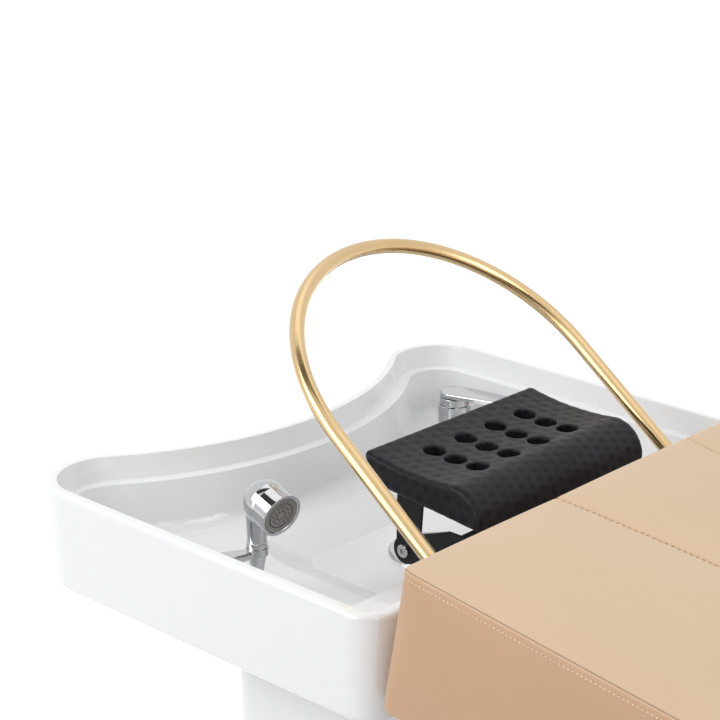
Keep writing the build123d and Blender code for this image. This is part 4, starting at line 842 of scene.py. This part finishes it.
def round_the_corner(x, y):
    """Place in plan after the four upright corners are rounded."""
    from_end = corner_round - min(x, pad_length - x)
    from_side = corner_round - (half_width - abs(y))
    if from_end <= 0 or from_side <= 0:
        return x, y
    share = max(from_end, from_side) / math.hypot(from_end, from_side)
    in_x = corner_round - from_end * share
    in_y = half_width - corner_round + from_side * share
    return (in_x if x < pad_length / 2 else pad_length - in_x), math.copysign(in_y, y)


def shaped(i, j, k):
    """Point of the unswollen cover for row i along, row j across and level k up."""
    x, across = rows_x[i], rows_y[j]
    y = drawn_in(x, across)
    rise = top_rise(x)
    z = level_height(k, rise)
    round_here = bottom_round + (top_round - bottom_round) * (z / rise)
    core = Vector(
        (
            min(max(x, round_here), pad_length - round_here),
            min(max(y, round_here - half_width), half_width - round_here),
            min(max(z, round_here), rise - round_here),
        )
    )
    place = Vector((x, y, z))
    out = place - core
    if out.length > 1e-9:
        place = core + out.normalized() * round_here
    if k == last_z:
        outer = abs(across) > seam_y
        in_panel = abs(across) - seam_y if outer else seam_y - abs(across)
        panel_width = half_width - seam_y if outer else seam_y
        bow = math.sin(math.pi * min(1, in_panel / panel_width) * (1 if outer else 0.5))
        place.z += crown_start * bow
    place.x, place.y = round_the_corner(place.x, place.y)
    lean = head_lean * max(0, 1 - x / slope_length)
    return Vector((pad_head_x + place.x + math.tan(lean) * place.z, place.y, pad_bottom + place.z))


workshop = bmesh.new()
corner = {}
for i in range(last_x + 1):
    for j in range(last_y + 1):
        for k in range(last_z + 1):
            if i in (0, last_x) or j in (0, last_y) or k in (0, last_z):
                corner[i, j, k] = workshop.verts.new(shaped(i, j, k))


def cover_face(*keys):
    """One face of the cover through four of its corners."""
    workshop.faces.new([corner[key] for key in keys])


for i in range(last_x):
    for j in range(last_y):
        cover_face((i, j, last_z), (i + 1, j, last_z), (i + 1, j + 1, last_z), (i, j + 1, last_z))
        cover_face((i, j, 0), (i, j + 1, 0), (i + 1, j + 1, 0), (i + 1, j, 0))
for i in range(last_x):
    for k in range(last_z):
        cover_face((i, 0, k), (i + 1, 0, k), (i + 1, 0, k + 1), (i, 0, k + 1))
        cover_face((i, last_y, k), (i, last_y, k + 1), (i + 1, last_y, k + 1), (i + 1, last_y, k))
for j in range(last_y):
    for k in range(last_z):
        cover_face((0, j, k), (0, j, k + 1), (0, j + 1, k + 1), (0, j + 1, k))
        cover_face((last_x, j, k), (last_x, j + 1, k), (last_x, j + 1, k + 1), (last_x, j, k + 1))
workshop.verts.index_update()
number = {key: vert.index for key, vert in corner.items()}
cover_mesh = bpy.data.meshes.new("mattress_cover")
workshop.to_mesh(cover_mesh)
workshop.free()

seam_rows = [j for j, y in enumerate(rows_y) if abs(abs(y) - seam_y) < 1e-6]
long_seams = {number[i, j, last_z] for i in range(last_x + 1) for j in seam_rows}
at_edge = [key for key in corner if key[0] in (0, last_x) or key[1] in (0, last_y)]
edge_seam = {number[key] for key in at_edge if key[2] == last_z}
corner_seams = {number[key] for key in at_edge if key[0] in (0, last_x) and key[1] in (0, last_y)}
resting = {number[key] for key in corner if key[2] <= 1}

cover = in_scene("mattress_cover", cover_mesh)
held = cover.vertex_groups.new(name="sewn")
held.add(sorted(long_seams | edge_seam | corner_seams | resting), 1.0, "REPLACE")
foam = cover.modifiers.new("foam", "CLOTH")
foam.settings.use_pressure = True
foam.settings.uniform_pressure_force = foam_pressure
foam.settings.vertex_group_mass = "sewn"
foam.settings.effector_weights.gravity = 0
foam.point_cache.frame_start = 1
foam.point_cache.frame_end = settling_frames
for step in range(1, settling_frames + 1):
    scene.frame_set(step)
swollen_mesh = worked_out(cover)
scene.frame_set(1)
cover.modifiers.remove(foam)
flat_points = read_vectors(cover_mesh.vertices, "co")
moved = read_vectors(swollen_mesh.vertices, "co") - flat_points
far = np.linalg.norm(moved, axis=1)
keep = np.where(far > 1e-9, swell_cap * np.tanh(far / swell_cap) / np.maximum(far, 1e-9), 0)
cover_mesh.vertices.foreach_set("co", (flat_points + moved * keep[:, None]).ravel())
cover_mesh.update()

cover_ways = read_vectors(cover_mesh.vertex_normals, "vector")
cover_points = read_vectors(cover_mesh.vertices, "co")
shade = np.zeros(len(cover_mesh.vertices))
for index in long_seams:
    cover_points[index] -= cover_ways[index] * seam_sink
    shade[index] = long_seam_shade
for index in edge_seam | corner_seams:
    cover_points[index] -= cover_ways[index] * edge_sink
    shade[index] = edge_seam_shade
cover_mesh.vertices.foreach_set("co", cover_points.ravel())
mark_points(cover_mesh, "seam_shade", shade)
cover_mesh.update()

finer = cover.modifiers.new("finer_cover", "SUBSURF")
finer.levels = 1
finer.render_levels = 1
cover_mesh = worked_out(cover)
bpy.data.objects.remove(cover)
cover_mesh.name = "mattress_cover"
cover_mesh.shade_smooth()

pebbles_per_metre = 620
pebble_depth = 0.00012
painted_light_tint = (1.15, 1.36, 1.56, 1)
painted_seam_brown = (0.13, 0.065, 0.035, 1)
seam_narrowing = 4.0

leather = finish(
    "beige_leather",
    pale=(0.572, 0.350, 0.204),
    deep=(0.552, 0.337, 0.195),
    gloss=(0.38, 0.46),
    cloud=4,
    grain=900,
    grain_depth=0.00006,
)
nodes, links = leather.node_tree.nodes, leather.node_tree.links
shader = nodes["Principled BSDF"]
place = nodes.new("ShaderNodeTexCoord")
pebbles = add_node(nodes, "ShaderNodeTexVoronoi", {"Scale": pebbles_per_metre})
links.new(place.outputs["Object"], pebbles.inputs["Vector"])
pebble_relief = add_node(nodes, "ShaderNodeBump", {"Distance": pebble_depth})
links.new(pebbles.outputs["Distance"], pebble_relief.inputs["Height"])
links.new(shader.inputs["Normal"].links[0].from_socket, pebble_relief.inputs["Normal"])
links.new(pebble_relief.outputs["Normal"], shader.inputs["Normal"])
# Painted light: surfaces facing up get a paler, less saturated base colour, standing in for the brighter
# light and sheen on the mattress top.
place_way = nodes.new("ShaderNodeSeparateXYZ")
links.new(place.outputs["Normal"], place_way.inputs[0])
top_light_share = add_node(nodes, "ShaderNodeMapRange", {"From Min": 0.35, "From Max": 0.85})
links.new(place_way.outputs["Z"], top_light_share.inputs["Value"])
painted_light_mix = add_node(nodes, "ShaderNodeMix", {"B": painted_light_tint}, data_type="RGBA", blend_type="MULTIPLY")
links.new(top_light_share.outputs["Result"], painted_light_mix.inputs["Factor"])
links.new(shader.inputs["Base Color"].links[0].from_socket, painted_light_mix.inputs["A"])
# Painted shade: the base colour darkens to brown along the sunk long seams and the edge seam, where shade
# falls in the grooves.
seam_mark = add_node(nodes, "ShaderNodeAttribute", attribute_name="seam_shade")
narrowed = add_node(nodes, "ShaderNodeMath", {1: seam_narrowing}, operation="POWER")
links.new(seam_mark.outputs["Fac"], narrowed.inputs[0])
seam_tone = add_node(nodes, "ShaderNodeMix", {"B": painted_seam_brown}, data_type="RGBA")
links.new(painted_light_mix.outputs["Result"], seam_tone.inputs["A"])
links.new(narrowed.outputs[0], seam_tone.inputs["Factor"])
links.new(seam_tone.outputs["Result"], shader.inputs["Base Color"])
shader.inputs["Sheen Weight"].default_value = 0.6
shader.inputs["Sheen Roughness"].default_value = 0.3
shader.inputs["Sheen Tint"].default_value = (1.0, 0.97, 0.90, 1)

mattress = piece("mattress_cover", cover_mesh, "bed", leather)
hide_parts("mattress")

# Stitching of the mattress: one row of pale thread below the edge seam all round, and a row of finer
# brown thread in each long seam, laid at even pitch on the finished cover.
stitch_pitch = 0.0053
stitch_length = 0.0034
thread_radius = 0.00075
thread_lift = 0.35
panel_stitch_pitch = 0.0075
panel_thread_share = 0.7
bead_segments = 6
bead_rings = 5

stitch_sizes = (
    ("Seam Line", "Geometry"),
    ("Stitch Pitch", "Float"),
    ("Stitch Size", "Vector"),
    ("Thread", "Material"),
)
stitch_tree, given, result = node_group("stitch_row", stitch_sizes, "Stitches")
nodes, links = stitch_tree.nodes, stitch_tree.links
as_curve = nodes.new("GeometryNodeMeshToCurve")
links.new(given.outputs["Seam Line"], as_curve.inputs["Mesh"])
needle_places = add_node(nodes, "GeometryNodeCurveToPoints", mode="LENGTH")
links.new(as_curve.outputs["Curve"], needle_places.inputs["Curve"])
links.new(given.outputs["Stitch Pitch"], needle_places.inputs["Length"])
bead_values = {"Segments": bead_segments, "Rings": bead_rings, "Radius": 1}
thread_bead = add_node(nodes, "GeometryNodeMeshUVSphere", bead_values)
drawn_out = nodes.new("GeometryNodeTransform")
links.new(thread_bead.outputs["Mesh"], drawn_out.inputs["Geometry"])
links.new(given.outputs["Stitch Size"], drawn_out.inputs["Scale"])
sewn = nodes.new("GeometryNodeInstanceOnPoints")
links.new(needle_places.outputs["Points"], sewn.inputs["Points"])
links.new(needle_places.outputs["Rotation"], sewn.inputs["Rotation"])
links.new(drawn_out.outputs["Geometry"], sewn.inputs["Instance"])
real_stitches = nodes.new("GeometryNodeRealizeInstances")
links.new(sewn.outputs["Instances"], real_stitches.inputs["Geometry"])
thread_finish = nodes.new("GeometryNodeSetMaterial")
links.new(real_stitches.outputs["Geometry"], thread_finish.inputs["Geometry"])
links.new(given.outputs["Thread"], thread_finish.inputs["Material"])
links.new(thread_finish.outputs["Geometry"], result.inputs["Stitches"])

surface = BVHTree.FromPolygons(
    [v.co for v in cover_mesh.vertices], [p.vertices[:] for p in cover_mesh.polygons]
)


def laid_on_cover(guides, closed):
    """Line mesh through the cover's nearest points to the guides."""
    places = []
    for guide in guides:
        hit, way = surface.find_nearest(guide)[:2]
        places.append(tuple(hit + way * thread_radius * thread_lift))
    edges = [(n, n + 1) for n in range(len(places) - 1)]
    if closed:
        edges.append((len(places) - 1, 0))
    line = bpy.data.meshes.new("seam_line")
    line.from_pydata(places, edges, [])
    return line


stitch_level = last_z - drops.index(stitch_drop)
border_ring = (
    [(i, 0) for i in range(last_x)]
    + [(last_x, j) for j in range(last_y)]
    + [(i, last_y) for i in range(last_x, 0, -1)]
    + [(0, j) for j in range(last_y, 0, -1)]
)
pale_thread = finish(
    "pale_thread",
    pale=(0.80, 0.66, 0.52),
    deep=(0.70, 0.56, 0.43),
    gloss=(0.6, 0.75),
    cloud=60,
    grain=3000,
    grain_depth=0.00008,
)
brown_thread = finish(
    "brown_thread",
    pale=(0.42, 0.27, 0.17),
    deep=(0.36, 0.225, 0.14),
    gloss=(0.6, 0.75),
    cloud=60,
    grain=3000,
    grain_depth=0.00008,
)
stitch_size = Vector((thread_radius, thread_radius, stitch_length / 2))
border_line = laid_on_cover([shaped(i, j, stitch_level) for i, j in border_ring], closed=True)
values = {"Stitch Pitch": stitch_pitch, "Stitch Size": stitch_size, "Thread": pale_thread}
border_stitches = made_by_nodes("border_stitches", border_line, stitch_tree, values)
piece("border_stitches", border_stitches, "bed")
values = {
    "Stitch Pitch": panel_stitch_pitch,
    "Stitch Size": stitch_size * panel_thread_share,
    "Thread": brown_thread,
}
for label, seam_row in zip(("near", "far"), seam_rows):
    guides = [shaped(i, seam_row, last_z) for i in range(1, last_x)]
    line = laid_on_cover(guides, closed=False)
    stitches = made_by_nodes(f"panel_stitches_{label}", line, stitch_tree, values)
    piece(f"panel_stitches_{label}", stitches, "bed")
